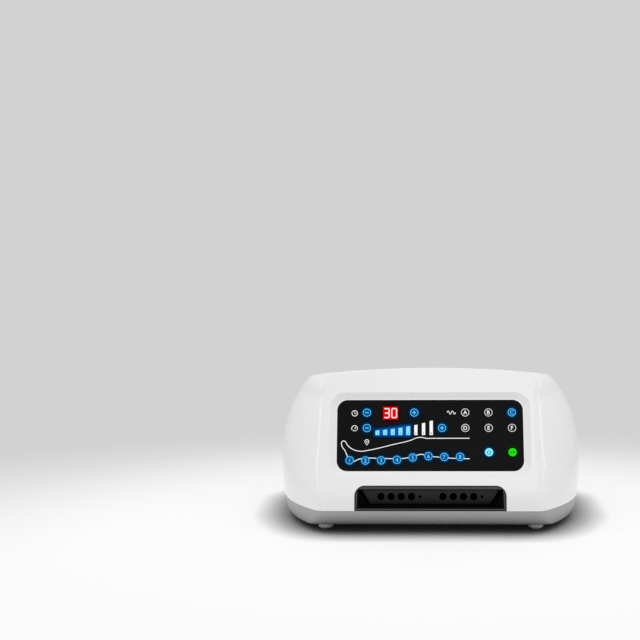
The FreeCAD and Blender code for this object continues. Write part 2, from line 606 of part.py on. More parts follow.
# ---------------------------------------------------------------- lower shell
def lower_shell():
    """The grey tray: a thin tub with a tongue into the dome, screw and board posts, foot seats and vents."""
    tub = tray_form(0.0, TRAY_STEPS).cut(tray_form(WALL, TRAY_INNER_STEPS))
    tongue_outer = WALL + TONGUE_GAP
    tongue = seam_ring(tongue_outer, tongue_outer + TONGUE_THICK, SEAM_HEIGHT - TONGUE_DEPTH,
                       SEAM_HEIGHT + TONGUE_HEIGHT)
    mouth = BAY_HALF_WIDTH + 2 * WALL
    tongue = tongue.cut(box(-mouth, mouth, -HALF_DEPTH, BAY_FIXING[1], 0, FAR))
    pieces = [tub, tongue]
    for x, y in HOUSING_SCREWS:
        pieces.append(rod(x, y, TRAY_BASE, POST_RADIUS, SEAM_HEIGHT - TRAY_BASE - FIT_GAP))
    for x, y in BAY_SCREWS:
        pieces.append(rod(x, y, TRAY_BASE, BAY_EAR_RADIUS, SEAM_HEIGHT - TRAY_BASE))
    for x, y in FEET:
        pieces.append(rod(x, y, TRAY_BASE, FOOT_RADIUS + WALL, FOOT_RECESS + WALL))
    x0, x1, y0, y1 = MAIN_BOARD
    for x in (x0 + MAIN_POST_INSET, x1 - MAIN_POST_INSET):
        for y in (y0 + MAIN_POST_INSET, y1 - MAIN_POST_INSET):
            pieces.append(rod(x, y, TRAY_BASE, MAIN_POST_RADIUS, MAIN_BOARD_Z - TRAY_BASE))
    return fuse(pieces).cut(tray_holes())


def tray_holes():
    """What is cut from the tray: screw holes, foot seats and floor vents."""
    low = TRAY_BASE - OVER
    cuts = []
    for x, y in HOUSING_SCREWS:
        cuts.append(rod(x, y, low, SCREW_RADIUS + SCREW_CLEAR, SEAM_HEIGHT))
        cuts.append(rod(x, y, low, SCREW_HEAD_RADIUS + SCREW_CLEAR, SCREW_SINK + OVER))
    for x, y in BAY_SCREWS:
        cuts.append(rod(x, y, TRAY_FLOOR, SCREW_RADIUS, SEAM_HEIGHT))
    for x, y in FEET:
        cuts.append(rod(x, y, low, FOOT_RADIUS, FOOT_RECESS + OVER))
        cuts.append(rod(x, y, low, FOOT_PEG_RADIUS, SEAM_HEIGHT))
    x, y = FLOOR_VENT_MIDDLE
    for i in range(FLOOR_VENT_COUNT):
        row = y + (i - (FLOOR_VENT_COUNT - 1) / 2) * FLOOR_VENT_PITCH
        cuts.append(block(x, row, low, FLOOR_VENT_LENGTH, VENT_WIDTH, WALL + 2 * OVER))
    return cuts


def foot(x, y):
    """A rubber foot: a pad with a sloped edge and a peg pushed into the tray."""
    shoulder = TRAY_BASE + FOOT_RECESS
    peg_top = shoulder + FOOT_PEG_LENGTH
    profile = ((0, 0), (FOOT_TIP_RADIUS, 0), FOOT_KNEE, (FOOT_RADIUS, TRAY_BASE), (FOOT_RADIUS, shoulder),
               (FOOT_PEG_RADIUS, shoulder), (FOOT_PEG_RADIUS, peg_top), (0, peg_top), (0, 0))
    outline = Part.Face(Part.makePolygon([Vector(radius, 0, z) for radius, z in profile]))
    turned = outline.revolve(Vector(0, 0, 0), Vector(0, 0, 1), 360)
    turned.translate(Vector(x, y, 0))
    return turned


def screw(x, y, z, length, way):
    """A pan-head screw with its head's seat at z and its shank along way, 1 for up or -1 for down."""
    shank = rod(x, y, z, SCREW_RADIUS, length, (0, 0, way))
    return shank.fuse(rod(x, y, z, SCREW_HEAD_RADIUS, SCREW_HEAD_HEIGHT, (0, 0, -way)))


def housing_screws():
    """Five screws up into the dome and two down through the bay's ears."""
    up = [screw(x, y, TRAY_BASE + SCREW_SINK, SCREW_LENGTH, 1) for x, y in HOUSING_SCREWS]
    seat = SEAM_HEIGHT + BAY_EAR_THICK
    return group(up + [screw(x, y, seat, BAY_SCREW_LENGTH, -1) for x, y in BAY_SCREWS])


# ---------------------------------------------------------------- air ports
def bay_section(y, grow):
    """The bay's inner outline at a plane: a wide rectangle at the front, a trapezoid at the back wall."""
    share = (y + HALF_DEPTH) / (BAY_WALL_Y + HALF_DEPTH)
    mouth_half = BAY_HALF_WIDTH - BAY_RIM
    low = SEAM_HEIGHT + BAY_LIP + BAY_BACK_RISE * share - grow
    high = BAY_TOP - BAY_RIM + (BAY_BACK_TOP - BAY_TOP + BAY_RIM) * share + grow
    bottom = mouth_half + (BAY_BACK_HALF_BOTTOM - mouth_half) * share + grow
    top = mouth_half + (BAY_BACK_HALF_TOP - mouth_half) * share + grow
    points = [Vector(-bottom, y, low), Vector(bottom, y, low), Vector(top, y, high), Vector(-top, y, high)]
    return Part.makePolygon(points + points[:1])


def back_plate(grow, y0, y1):
    """A plate with the outline of the bay's back wall between two planes."""
    wire = bay_section(BAY_WALL_Y, grow)
    wire.translate(Vector(0, y0 - BAY_WALL_Y, 0))
    return Part.Face(wire).extrude(Vector(0, y1 - y0, 0))


def port_bay(outer):
    """The dark bay: a flush rim, splayed side walls and an open back that the port plate closes."""
    front = -HALF_DEPTH - OVER
    tunnel = Part.makeLoft([bay_section(front, 0.0), bay_section(BAY_WALL_Y, 0.0)], True, True)
    skin = Part.makeLoft([bay_section(front, BAY_SKIN), bay_section(BAY_WALL_Y, BAY_SKIN)], True, True)
    rim = bay_mouth(0.0, -HALF_DEPTH + BAY_RIM_DEPTH)
    limit = bay_mouth(0.0, BAY_WALL_Y)
    tub = skin.common(limit).common(outer)
    body = rim.common(outer).fuse([tub, back_plate(BAY_SKIN, BAY_WALL_Y, BAY_WALL_BACK)])
    top = SEAM_HEIGHT + BAY_EAR_THICK
    for x, y in BAY_SCREWS:
        start = math.copysign(BAY_EAR_START, x)
        inner = math.copysign(BAY_BACK_HALF_BOTTOM, x)
        arm = box(start, x, BAY_WALL_Y, y, SEAM_HEIGHT, top)
        tie = box(inner, x, BAY_WALL_Y, BAY_WALL_BACK, SEAM_HEIGHT, top)
        body = body.fuse([rod(x, y, SEAM_HEIGHT, BAY_EAR_RADIUS, BAY_EAR_THICK), arm, tie])
    holes = [rod(x, y, SEAM_HEIGHT - OVER, SCREW_RADIUS + SCREW_CLEAR, BAY_EAR_THICK + 2 * OVER)
             for x, y in BAY_SCREWS]
    opening = back_plate(0.0, BAY_WALL_Y - OVER, BAY_WALL_BACK + OVER)
    return body.cut([tunnel, opening] + holes).removeSplitter()


def air_ports():
    """The port plate: the bay's back wall with two groups of four ports and a hose barb behind each."""
    flange_back = BAY_WALL_BACK + BAY_SKIN
    pieces = [back_plate(-FIT_GAP, BAY_WALL_Y, BAY_WALL_BACK),
              back_plate(BAY_SKIN - FIT_GAP, BAY_WALL_BACK, flange_back)]
    for start in PORT_STARTS:
        x0 = start - BLOCK_MARGIN
        x1 = start + (PORT_COUNT - 1) * PORT_PITCH + KEYWAY_OFFSET + BLOCK_MARGIN / 2
        pieces.append(box(x0, x1, BAY_WALL_BACK, BLOCK_BACK, PORT_HEIGHT - BLOCK_HALF_HEIGHT,
                          PORT_HEIGHT + BLOCK_HALF_HEIGHT))
    pieces.extend(rod(x, BLOCK_BACK, PORT_HEIGHT, BARB_RADIUS, BARB_LENGTH, (0, 1, 0)) for x in PORT_COLUMNS)
    cuts = []
    for x in PORT_COLUMNS:
        lead_in = Part.makeCone(PORT_RADIUS + PORT_CHAMFER, PORT_RADIUS, PORT_CHAMFER,
                                Vector(x, BAY_WALL_Y, PORT_HEIGHT), Vector(0, 1, 0))
        cuts.append(lead_in)
        cuts.append(rod(x, BAY_WALL_Y, PORT_HEIGHT, PORT_RADIUS, PORT_DEPTH, (0, 1, 0)))
        cuts.append(rod(x, BAY_WALL_Y, PORT_HEIGHT, BARB_BORE, BLOCK_DEPTH + BARB_LENGTH + OVER, (0, 1, 0)))
    for x in KEYWAY_COLUMNS:
        cuts.append(rod(x, BAY_WALL_Y, PORT_HEIGHT, KEYWAY_RADIUS, KEYWAY_DEPTH, (0, 1, 0)))
    return fuse(pieces).cut(cuts)


def tube(start, length, along):
    """A straight hose from a point."""
    outer = Part.makeCylinder(HOSE_RADIUS, length, start, along)
    return outer.cut(Part.makeCylinder(BARB_RADIUS, length, start, along))


def air_hoses():
    """Eight straight hoses from the ports to the valves and two from the pump's heads to the manifold."""
    start, back = BLOCK_BACK + HOSE_GAP, Vector(0, 1, 0)
    hoses = [tube(Vector(x, start, PORT_HEIGHT), MANIFOLD_Y - HOSE_GAP - start, back) for x in PORT_COLUMNS]
    left, right = HEAD_COLUMNS
    rear = HEAD_FRONT - HOSE_GAP
    start = MANIFOLD_BACK + HOSE_GAP
    hoses.append(tube(Vector(right, start, PORT_HEIGHT), rear - start, back))
    corner = Vector(left + HOSE_BEND, MANIFOLD_MIDDLE + HOSE_BEND, PORT_HEIGHT)
    first = Vector(left, corner.y, PORT_HEIGHT)
    last = Vector(corner.x, MANIFOLD_MIDDLE, PORT_HEIGHT)
    outer, bore = (Part.Face(Part.Wire(Part.makeCircle(r, first, back))) for r in (HOSE_RADIUS, BARB_RADIUS))
    bend = outer.cut(bore).revolve(corner, Vector(0, 0, 1), 90)
    legs = [tube(first, rear - first.y, back), tube(last, MANIFOLD_LEFT - HOSE_GAP - last.x, Vector(1, 0, 0))]
    hoses.append(fuse([bend] + legs))
    return group(hoses)


# ---------------------------------------------------------------- valves
def valve_manifold():
    """The bar that feeds the valves, with a barb to each hose and an inlet barb from each pump head."""
    bar = box(MANIFOLD_LEFT, MANIFOLD_RIGHT, MANIFOLD_Y, MANIFOLD_BACK, MANIFOLD_BASE, MANIFOLD_TOP)
    pieces = [bar]
    foot_height = MANIFOLD_BASE - TRAY_FLOOR
    for x in (MANIFOLD_LEFT + MANIFOLD_FOOT, MANIFOLD_RIGHT - MANIFOLD_FOOT):
        pieces.append(block(x, MANIFOLD_MIDDLE, TRAY_FLOOR, MANIFOLD_FOOT, MANIFOLD_FOOT, foot_height))
    barbs = [((x, MANIFOLD_Y, PORT_HEIGHT), (0, -1, 0)) for x in PORT_COLUMNS]
    barbs.append(((HEAD_COLUMNS[1], MANIFOLD_BACK, PORT_HEIGHT), (0, 1, 0)))
    barbs.append(((MANIFOLD_LEFT, MANIFOLD_MIDDLE, PORT_HEIGHT), (-1, 0, 0)))
    for spot, way in barbs:
        pieces.append(rod(*spot, BARB_RADIUS, BARB_LENGTH, way))
    return fuse(pieces)


def valve_coil(x):
    """A small solenoid valve: its coil block with a bore for the plunger."""
    body = block(x, MANIFOLD_MIDDLE, MANIFOLD_TOP, VALVE_WIDTH, VALVE_DEPTH, VALVE_HEIGHT)
    depth = PLUNGER_REST + PLUNGER_LENGTH + PLUNGER_TRAVEL + PLUNGER_REST
    return body.cut(rod(x, MANIFOLD_MIDDLE, MANIFOLD_TOP + BORE_FLOOR, PLUNGER_RADIUS + RUNNING_GAP, depth))


def valve_plunger(x):
    """The iron plunger that lifts inside a valve to open its line."""
    return rod(x, MANIFOLD_MIDDLE, MANIFOLD_TOP + BORE_FLOOR + PLUNGER_REST, PLUNGER_RADIUS, PLUNGER_LENGTH)


# ---------------------------------------------------------------- control panel
def panel_keys():
    """Every key's name with its place on the panel and its cap radius."""
    keys = {"time_minus_key": (MINUS_COLUMN, TOP_ROW, KEY_RADIUS),
            "time_plus_key": (TIME_PLUS_COLUMN, TOP_ROW, KEY_RADIUS),
            "pressure_minus_key": (MINUS_COLUMN, SECOND_ROW, KEY_RADIUS),
            "pressure_plus_key": (PRESSURE_PLUS_COLUMN, SECOND_ROW, KEY_RADIUS),
            "power_key": (MODE_COLUMNS[1], START_ROW, KEY_RADIUS),
            "start_key": (MODE_COLUMNS[2], START_ROW, KEY_RADIUS)}
    for i, letter in enumerate("abcdef"):
        row = TOP_ROW if i < len(MODE_COLUMNS) else SECOND_ROW
        keys["mode_%s_key" % letter] = (MODE_COLUMNS[i % len(MODE_COLUMNS)], row, KEY_RADIUS)
    for i, height in enumerate(CHAMBER_HEIGHTS):
        keys["chamber_%d_key" % (i + 1)] = (CHAMBER_FIRST + i * CHAMBER_PITCH, height, CHAMBER_KEY_RADIUS)
    return keys


def panel_key(x, v, radius):
    """A push key: a round cap flush with the panel, two retaining ears and a square stem to its switch."""
    cap = rod(x, v, EAR_FRONT, radius, LENS_FACE - EAR_FRONT)
    ears = block(x, v, EAR_BACK, KEY_EAR_LENGTH, KEY_EAR_WIDTH, KEY_EAR_THICK)
    stem = block(x, v, STEM_END, KEY_STEM, KEY_STEM, EAR_BACK - STEM_END)
    return on_face(fuse([cap, ears, stem]))


def level_blocks(grow, z0, z1):
    """The eight rising level windows with slanted tops as blocks between two planes."""
    blocks = []
    for i, height in enumerate(BAR_HEIGHTS):
        x = BAR_FIRST + i * BAR_PITCH
        left, right = x - BAR_WIDTH / 2 - grow, x + BAR_WIDTH / 2 + grow
        low, top = BAR_BASE - grow, BAR_BASE + height + grow
        corners = [Vector(left, low, z0), Vector(right, low, z0), Vector(right, top, z0),
                   Vector(left, top - BAR_SLANT, z0)]
        blocks.append(Part.Face(Part.makePolygon(corners + corners[:1])).extrude(Vector(0, 0, z1 - z0)))
    return blocks


def digit_block(grow, z0, z1):
    """The two-digit display's outline as a block between two planes."""
    (x, v), (width, height) = DIGIT_CENTRE, DIGIT_SIZE
    return block(x, v, z0, width + 2 * grow, height + 2 * grow, z1 - z0)


def panel_lens():
    """The black gloss panel with holes for the keys, the digits and the level bars."""
    plate = rounded_plate(PANEL_WIDTH / 2, PANEL_HEIGHT / 2, PANEL_RADIUS, LENS_BACK, LENS_FACE)
    low, high = LENS_BACK - OVER, LENS_FACE + OVER
    cuts = [rod(x, v, low, radius + KEY_GAP, high - low) for x, v, radius in panel_keys().values()]
    return on_face(plate.cut(cuts + [digit_block(0.0, low, high)] + level_blocks(0.0, low, high)))


def board_corners():
    """The panel board's four fixing points."""
    half_x, half_v = PANEL_WIDTH / 2 - BOARD_POST_INSET, PANEL_HEIGHT / 2 - BOARD_POST_INSET
    return [(i * half_x, j * half_v) for i in (-1, 1) for j in (-1, 1)]


def key_guide():
    """The frame behind the panel: it guides the key stems and carries the panel board on four posts."""
    inner = LEDGE_WIDTH + FIT_GAP
    plate = rounded_plate(PANEL_WIDTH / 2 - inner, PANEL_HEIGHT / 2 - inner, PANEL_RADIUS - inner,
                          GUIDE_BACK, GUIDE_FRONT)
    flange = rounded_plate(PANEL_WIDTH / 2 + GUIDE_MARGIN, PANEL_HEIGHT / 2 + GUIDE_MARGIN, PANEL_RADIUS,
                           GUIDE_BACK, LEDGE_BACK)
    posts = [rod(x, v, PANEL_BOARD_FRONT, BOARD_POST_RADIUS, GUIDE_BACK - PANEL_BOARD_FRONT)
             for x, v in board_corners()]
    low, high = GUIDE_BACK - OVER, GUIDE_FRONT + OVER
    hole = KEY_STEM + 2 * KEY_GAP
    cuts = [block(x, v, low, hole, hole, high - low) for x, v, radius in panel_keys().values()]
    cuts.append(digit_block(FIT_GAP, low, high))
    return on_face(fuse([plate, flange] + posts).cut(cuts + level_blocks(FIT_GAP, low, high)))


def panel_board():
    """The circuit board behind the panel."""
    plate = rounded_plate(PANEL_WIDTH / 2, PANEL_HEIGHT / 2, BOARD_POST_INSET, PANEL_BOARD_BACK,
                          PANEL_BOARD_FRONT)
    holes = [rod(x, v, PANEL_BOARD_BACK - OVER, BOARD_HOLE_RADIUS, BOARD_THICK + 2 * OVER)
             for x, v in board_corners()]
    return on_face(plate.cut(holes))


def key_switches():
    """One square tactile switch under each key."""
    return group(on_face(block(x, v, PANEL_BOARD_FRONT, SWITCH_SIZE, SWITCH_SIZE, SWITCH_HEIGHT))
                 for x, v, radius in panel_keys().values())


# ---------------------------------------------------------------- air pump
def pump_frame():
    """The pump's steel base with four pivot ears, and the two pins its arms swing on."""
    cx, cy = PUMP_CENTRE
    pieces = [block(cx, cy, PUMP_PLATE_Z, PUMP_LENGTH, PUMP_WIDTH, PUMP_PLATE)]
    ear_y = ARM_WIDTH / 2 + PIVOT_SIDE_GAP + PIVOT_EAR / 2
    height = PIVOT_RISE + PIVOT_EAR_HALF
    for x in (cx - ARM_OFFSET, cx + ARM_OFFSET):
        for y in (cy - ear_y, cy + ear_y):
            pieces.append(block(x, y, PUMP_TOP, 2 * PIVOT_EAR_HALF, PIVOT_EAR, height))
    length = 2 * ear_y + PIVOT_EAR + 2 * PIN_OVERHANG
    pins = [rod(x, cy - length / 2, PUMP_TOP + PIVOT_RISE, PIVOT_RADIUS, length, (0, 1, 0))
            for x in (cx - ARM_OFFSET, cx + ARM_OFFSET)]
    return group([fuse(pieces).cut(pins)] + pins)


def pump_mounts():
    """Four rubber mounts between the tray and the pump's base."""
    cx, cy = PUMP_CENTRE
    dx, dy = PUMP_LENGTH / 2 - PUMP_MOUNT_INSET, PUMP_WIDTH / 2 - PUMP_MOUNT_INSET
    return group(rod(cx + i * dx, cy + j * dy, TRAY_FLOOR, PUMP_MOUNT_RADIUS, PUMP_PLATE_Z - TRAY_FLOOR)
                 for i in (-1, 1) for j in (-1, 1))


def pump_core():
    """The laminated iron core of the pump's electromagnet, an upright letter I."""
    cx, cy = PUMP_CENTRE
    core = block(cx, cy, PUMP_TOP, CORE_LENGTH, CORE_WIDTH, CORE_HEIGHT)
    z0, z1 = PUMP_TOP + CORE_SHOE, PUMP_TOP + CORE_HEIGHT - CORE_SHOE
    notches = [box(cx + side * CORE_WAIST / 2, cx + side * CORE_LENGTH, cy - CORE_WIDTH, cy + CORE_WIDTH,
                   z0, z1) for side in (-1, 1)]
    return core.cut(notches)


def pump_coil():
    """The copper winding around the core's waist."""
    cx, cy = PUMP_CENTRE
    z0 = PUMP_TOP + CORE_SHOE + COIL_GAP
    height = CORE_HEIGHT - 2 * CORE_SHOE - 2 * COIL_GAP
    winding = block(cx, cy, z0, 2 * COIL_HALF_LENGTH, CORE_WIDTH + 2 * COIL_BULGE, height)
    return winding.cut(block(cx, cy, z0 - OVER, CORE_WAIST, CORE_WIDTH, height + 2 * OVER))


def pump_arm(side):
    """A swinging arm: a lever on its pivot with a magnet beside the core."""
    cx, cy = PUMP_CENTRE
    x = cx + side * ARM_OFFSET
    pivot = PUMP_TOP + PIVOT_RISE
    lever = block(x, cy, pivot, ARM_THICK, ARM_WIDTH, ARM_HEIGHT)
    hub = rod(x, cy - ARM_WIDTH / 2, pivot, PIVOT_HUB, ARM_WIDTH, (0, 1, 0))
    thick, width, height = MAGNET_SIZE
    magnet = block(x - side * (ARM_THICK + thick) / 2, cy, pivot + ARM_HEIGHT - height, thick, width, height)
    bore = rod(x, cy - ARM_WIDTH, pivot, PIVOT_RADIUS + RUNNING_GAP, 2 * ARM_WIDTH, (0, 1, 0))
    return fuse([lever, hub, magnet]).cut(bore)


def pump_bell(side):
    """The rubber bell that an arm pumps: a neck on the arm and a drum clamped in its head."""
    cx, cy = PUMP_CENTRE
    start, end = ARM_OFFSET + ARM_THICK / 2, HEAD_OFFSET + BELL_SEAT
    z, along = PUMP_TOP + BELL_HEIGHT, (side, 0, 0)
    neck = rod(cx + side * start, cy, z, BELL_NECK_RADIUS, BELL_NECK, along)
    return neck.fuse(rod(cx + side * (start + BELL_NECK), cy, z, BELL_RADIUS, end - start - BELL_NECK, along))


def pump_head(side):
    """A valve head outside each arm, with a seat for the bell and an outlet barb to the front."""
    cx, cy = PUMP_CENTRE
    x = cx + side * (HEAD_OFFSET + HEAD_LENGTH / 2)
    head = block(x, cy, PUMP_TOP, HEAD_LENGTH, HEAD_WIDTH, HEAD_HEIGHT)
    barb = rod(x, HEAD_FRONT - BARB_LENGTH, PORT_HEIGHT, BARB_RADIUS, BARB_LENGTH, (0, 1, 0))
    return fuse([head, barb]).cut(pump_bell(side))


# ---------------------------------------------------------------- electronics and mains
def main_board():
    """The mains and control board."""
    x0, x1, y0, y1 = MAIN_BOARD
    return box(x0, x1, y0, y1, MAIN_BOARD_Z, MAIN_BOARD_Z + BOARD_THICK)


def board_components():
    """The tall parts on the main board: transformer, heat sink, connector, controller and capacitors."""
    x0, y0, z = MAIN_BOARD[0], MAIN_BOARD[2], MAIN_BOARD_Z + BOARD_THICK
    blocks = [box(x0 + a, x0 + b, y0 + c, y0 + d, z, z + height) for a, b, c, d, height in BOARD_BLOCKS]
    return group(blocks + [rod(x0 + x, y0 + y, z, radius, height) for x, y, radius, height in BOARD_CANS])


def inlet_well(well, y0, y1, gap=0.0):
    """A block over one of the inlet module's openings between two planes, shrunk by gap."""
    (x, z), (left, right, low, high) = INLET_CENTRE, well
    return box(x + left + gap, x + right - gap, y0, y1, z + low + gap, z + high - gap)


def rocker_pivot():
    """The rocker switch's pivot: its height and distance from the inlet's face."""
    return INLET_CENTRE[1] + (ROCKER_WELL[2] + ROCKER_WELL[3]) / 2, INLET_FACE - ROCKER_PIVOT_DEPTH


def mains_inlet():
    """The mains module: flange, socket well, fuse drawer slot and rocker opening."""
    back = INLET_Y - INLET_CAVITY_DEPTH
    body = fuse([inlet_block(INLET_SIZE, INLET_Y - INLET_DEPTH, INLET_Y),
                 inlet_block(INLET_FLANGE, INLET_Y, INLET_FACE)])
    cuts = [inlet_well(well, back, INLET_FACE + OVER) for well in (SOCKET_WELL, DRAWER_WELL, ROCKER_WELL)]
    z, y = rocker_pivot()
    half = ROCKER_WELL[1] + ROCKER_PIN_REACH + DRAWER_GAP
    cuts.append(rod(INLET_CENTRE[0] - half, y, z, ROCKER_PIVOT_RADIUS + RUNNING_GAP, 2 * half, (1, 0, 0)))
    return body.cut(cuts)


def inlet_blades():
    """The three flat contacts in the socket well."""
    cx, cz = INLET_CENTRE
    half_x, half_z = BLADE_HALF
    back, tip = INLET_Y - INLET_CAVITY_DEPTH, INLET_FACE - BLADE_SETBACK
    return group(box(cx + x - half_x, cx + x + half_x, back, tip, cz + z - half_z, cz + z + half_z)
                 for x, z in BLADE_SPOTS)


def fuse_drawer():
    """The small drawer that holds the mains fuse, with a finger grip in its top edge."""
    body = inlet_well(DRAWER_WELL, INLET_Y - INLET_CAVITY_DEPTH + DRAWER_GAP, INLET_FACE, DRAWER_GAP)
    half, depth, height = DRAWER_GRIP
    top = INLET_CENTRE[1] + DRAWER_WELL[3]
    grip = box(INLET_CENTRE[0] - half, INLET_CENTRE[0] + half, INLET_FACE - depth, INLET_FACE + OVER,
               top - height, top)
    return body.cut(grip)


def power_rocker():
    """The rocker of the mains switch on its pivot, with its lower half pressed out."""
    z, y = rocker_pivot()
    half_x = ROCKER_WELL[1] - DRAWER_GAP
    left = Vector(INLET_CENTRE[0] - half_x, y, z)
    outline = ((-ROCKER_BACK, -ROCKER_HALF / 2), (ROCKER_FRONT, -ROCKER_HALF), (ROCKER_HOLLOW, 0),
               (ROCKER_FRONT, ROCKER_HALF), (-ROCKER_BACK, ROCKER_HALF / 2))
    points = [left + Vector(0, out, up) for out, up in outline]
    body = Part.Face(Part.makePolygon(points + points[:1])).extrude(Vector(2 * half_x, 0, 0))
    half_pin = ROCKER_WELL[1] + ROCKER_PIN_REACH
    pin = rod(INLET_CENTRE[0] - half_pin, y, z, ROCKER_PIVOT_RADIUS, 2 * half_pin, (1, 0, 0))
    rocker = fuse([body, pin])
    rocker.rotate(left, Vector(1, 0, 0), ROCKER_TILT_DEG)
    return rocker


# ---------------------------------------------------------------- build
def build():
    """Every node's shape by name."""
    outer = outer_dome()
    nodes = {"upper_shell": upper_shell(outer), "lower_shell": lower_shell(), "port_bay": port_bay(outer),
             "air_ports": air_ports(), "feet": group(foot(x, y) for x, y in FEET),
             "housing_screws": housing_screws()}
    for name, (x, v, radius) in panel_keys().items():
        nodes[name] = panel_key(x, v, radius)
    nodes["panel_lens"] = panel_lens()
    nodes["digit_filter"] = on_face(digit_block(0.0, LENS_BACK, LENS_FACE))
    nodes["digit_module"] = on_face(digit_block(0.0, PANEL_BOARD_FRONT, LENS_BACK))
    nodes["level_bars"] = group(on_face(bar) for bar in level_blocks(0.0, PANEL_BOARD_FRONT, LENS_FACE))
    nodes["key_guide"] = key_guide()
    nodes["key_switches"] = key_switches()
    nodes["panel_board"] = panel_board()
    nodes["air_hoses"] = air_hoses()
    nodes["valve_manifold"] = valve_manifold()
    nodes["valve_coils"] = group(valve_coil(x) for x in PORT_COLUMNS)
    for i, x in enumerate(PORT_COLUMNS):
        nodes["valve_plunger_%d" % (i + 1)] = valve_plunger(x)
    nodes["pump_frame"] = pump_frame()
    nodes["pump_mounts"] = pump_mounts()
    nodes["pump_core"] = pump_core()
    nodes["pump_coil"] = pump_coil()
    nodes["pump_heads"] = group(pump_head(side) for side in (-1, 1))
    for side, name in ((-1, "left"), (1, "right")):
        nodes["pump_arm_" + name] = pump_arm(side)
        nodes["pump_bell_" + name] = pump_bell(side)
    nodes["main_board"] = main_board()
    nodes["board_components"] = board_components()
    nodes["mains_inlet"] = mains_inlet()
    nodes["inlet_blades"] = inlet_blades()
    nodes["fuse_drawer"] = fuse_drawer()
    nodes["power_rocker"] = power_rocker()
    return nodes


os.makedirs("parts", exist_ok=True)
for node, shape in build().items():
    shape.exportStep("parts/%s.step" % node)
    print("%-20s solids %2d  volume %9.0f" % (node, len(shape.Solids), shape.Volume), "valid", shape.isValid())
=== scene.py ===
# %% [markdown]
# # A table air pump: finishes, lit marks and a plain studio
# The pump is a white moulded housing on a grey tray, with a black panel full of lit keys and a dark bay of
# air ports below it.  Its solids are already in place as a frame.  This lesson gives each surface the
# finish of the real moulding, adds the printed and lit marks of the panel, and puts the pump in a plain
# bright studio.

# %% Load the frame
import json
import math
import bpy
from mathutils import Matrix, Vector

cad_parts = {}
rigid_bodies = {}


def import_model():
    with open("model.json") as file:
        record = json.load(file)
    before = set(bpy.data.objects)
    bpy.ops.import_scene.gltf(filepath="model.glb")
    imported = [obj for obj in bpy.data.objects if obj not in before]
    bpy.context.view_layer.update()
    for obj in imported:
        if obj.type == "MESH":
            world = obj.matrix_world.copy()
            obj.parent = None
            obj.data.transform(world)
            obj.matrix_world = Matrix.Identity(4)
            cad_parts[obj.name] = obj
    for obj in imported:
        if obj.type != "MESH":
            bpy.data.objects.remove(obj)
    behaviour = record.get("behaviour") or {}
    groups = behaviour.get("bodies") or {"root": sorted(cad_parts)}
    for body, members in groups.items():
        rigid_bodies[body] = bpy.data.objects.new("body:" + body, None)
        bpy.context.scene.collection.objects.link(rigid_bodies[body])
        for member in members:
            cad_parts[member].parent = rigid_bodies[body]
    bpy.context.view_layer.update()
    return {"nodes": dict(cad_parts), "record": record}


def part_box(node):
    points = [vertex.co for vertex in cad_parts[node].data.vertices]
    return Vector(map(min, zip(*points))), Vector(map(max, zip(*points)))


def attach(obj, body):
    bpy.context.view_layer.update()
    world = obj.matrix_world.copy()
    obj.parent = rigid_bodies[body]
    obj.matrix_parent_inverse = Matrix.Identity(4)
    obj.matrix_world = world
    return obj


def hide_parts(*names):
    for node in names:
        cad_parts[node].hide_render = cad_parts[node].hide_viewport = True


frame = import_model()
MM = 0.001

# %% [markdown]
# ## The camera
# The pump is seen from straight ahead and a little above, from nearly one and a half metres, so its
# outlines hardly converge.  A long lens at that distance is the usual way to show a product without
# distortion.  The camera turns a little to the left, which puts the pump right of the middle of the
# picture; a trace of shift and roll keeps its edges level.

# %% Set the camera
CAMERA_PLACE = Vector((0, -1358, 285)) * MM
CAMERA_DOWN = math.radians(3.71)
CAMERA_LEFT = math.radians(2.493)
CAMERA_ROLL = math.radians(0.43)
CAMERA_SHIFT = 0.08             # share of the picture's width
FOCAL_SHARE = 2.094             # focal length over the sensor's width
bpy.ops.object.camera_add(location=CAMERA_PLACE, rotation=(math.pi / 2 - CAMERA_DOWN, 0, CAMERA_LEFT))
camera = bpy.context.object
camera.rotation_euler.rotate_axis("Z", -CAMERA_ROLL)
camera.data.lens = FOCAL_SHARE * camera.data.sensor_width
camera.data.shift_x = -CAMERA_SHIFT
bpy.context.scene.camera = camera
bpy.context.scene.view_settings.view_transform = "Standard"
print("lens in mm:", round(camera.data.lens, 1))

# %% [markdown]
# ## Nodes and colours
# A colour is written as an sRGB hex value, as a paint maker gives it, and turned to linear light for the
# shader.  One small function adds a shader node: its sockets take plain values or another node's output.

# %% Helpers for materials
def linear(code):
    """An sRGB hex colour as linear light."""
    parts = [int(code[i:i + 2], 16) / 255 for i in (0, 2, 4)]
    return tuple(c / 12.92 if c <= 0.04045 else ((c + 0.055) / 1.055) ** 2.4 for c in parts) + (1.0,)


def toned(colour, share):
    """A linear colour made darker or lighter by a share."""
    return tuple(min(1.0, c * share) for c in colour[:3]) + (1.0,)


def add(tree, kind, sockets=None, **settings):
    """A new shader node with its settings, its values and its links."""
    node = tree.nodes.new("ShaderNode" + kind)
    for name, value in settings.items():
        setattr(node, name, value)
    for key, value in (sockets or {}).items():
        if isinstance(value, bpy.types.NodeSocket):
            tree.links.new(value, node.inputs[key])
        else:
            node.inputs[key].default_value = value
    return node


def blank(name):
    """An empty material and its node tree."""
    material = bpy.data.materials.new(name)
    material.use_nodes = True
    material.node_tree.nodes.clear()
    return material, material.node_tree


def finish_with(material, shader):
    """Links a shader to the material's output."""
    add(material.node_tree, "OutputMaterial", {"Surface": shader.outputs[0]})
    return material


print("middle grey, 808080, is", round(linear("808080")[0], 3), "in linear light")

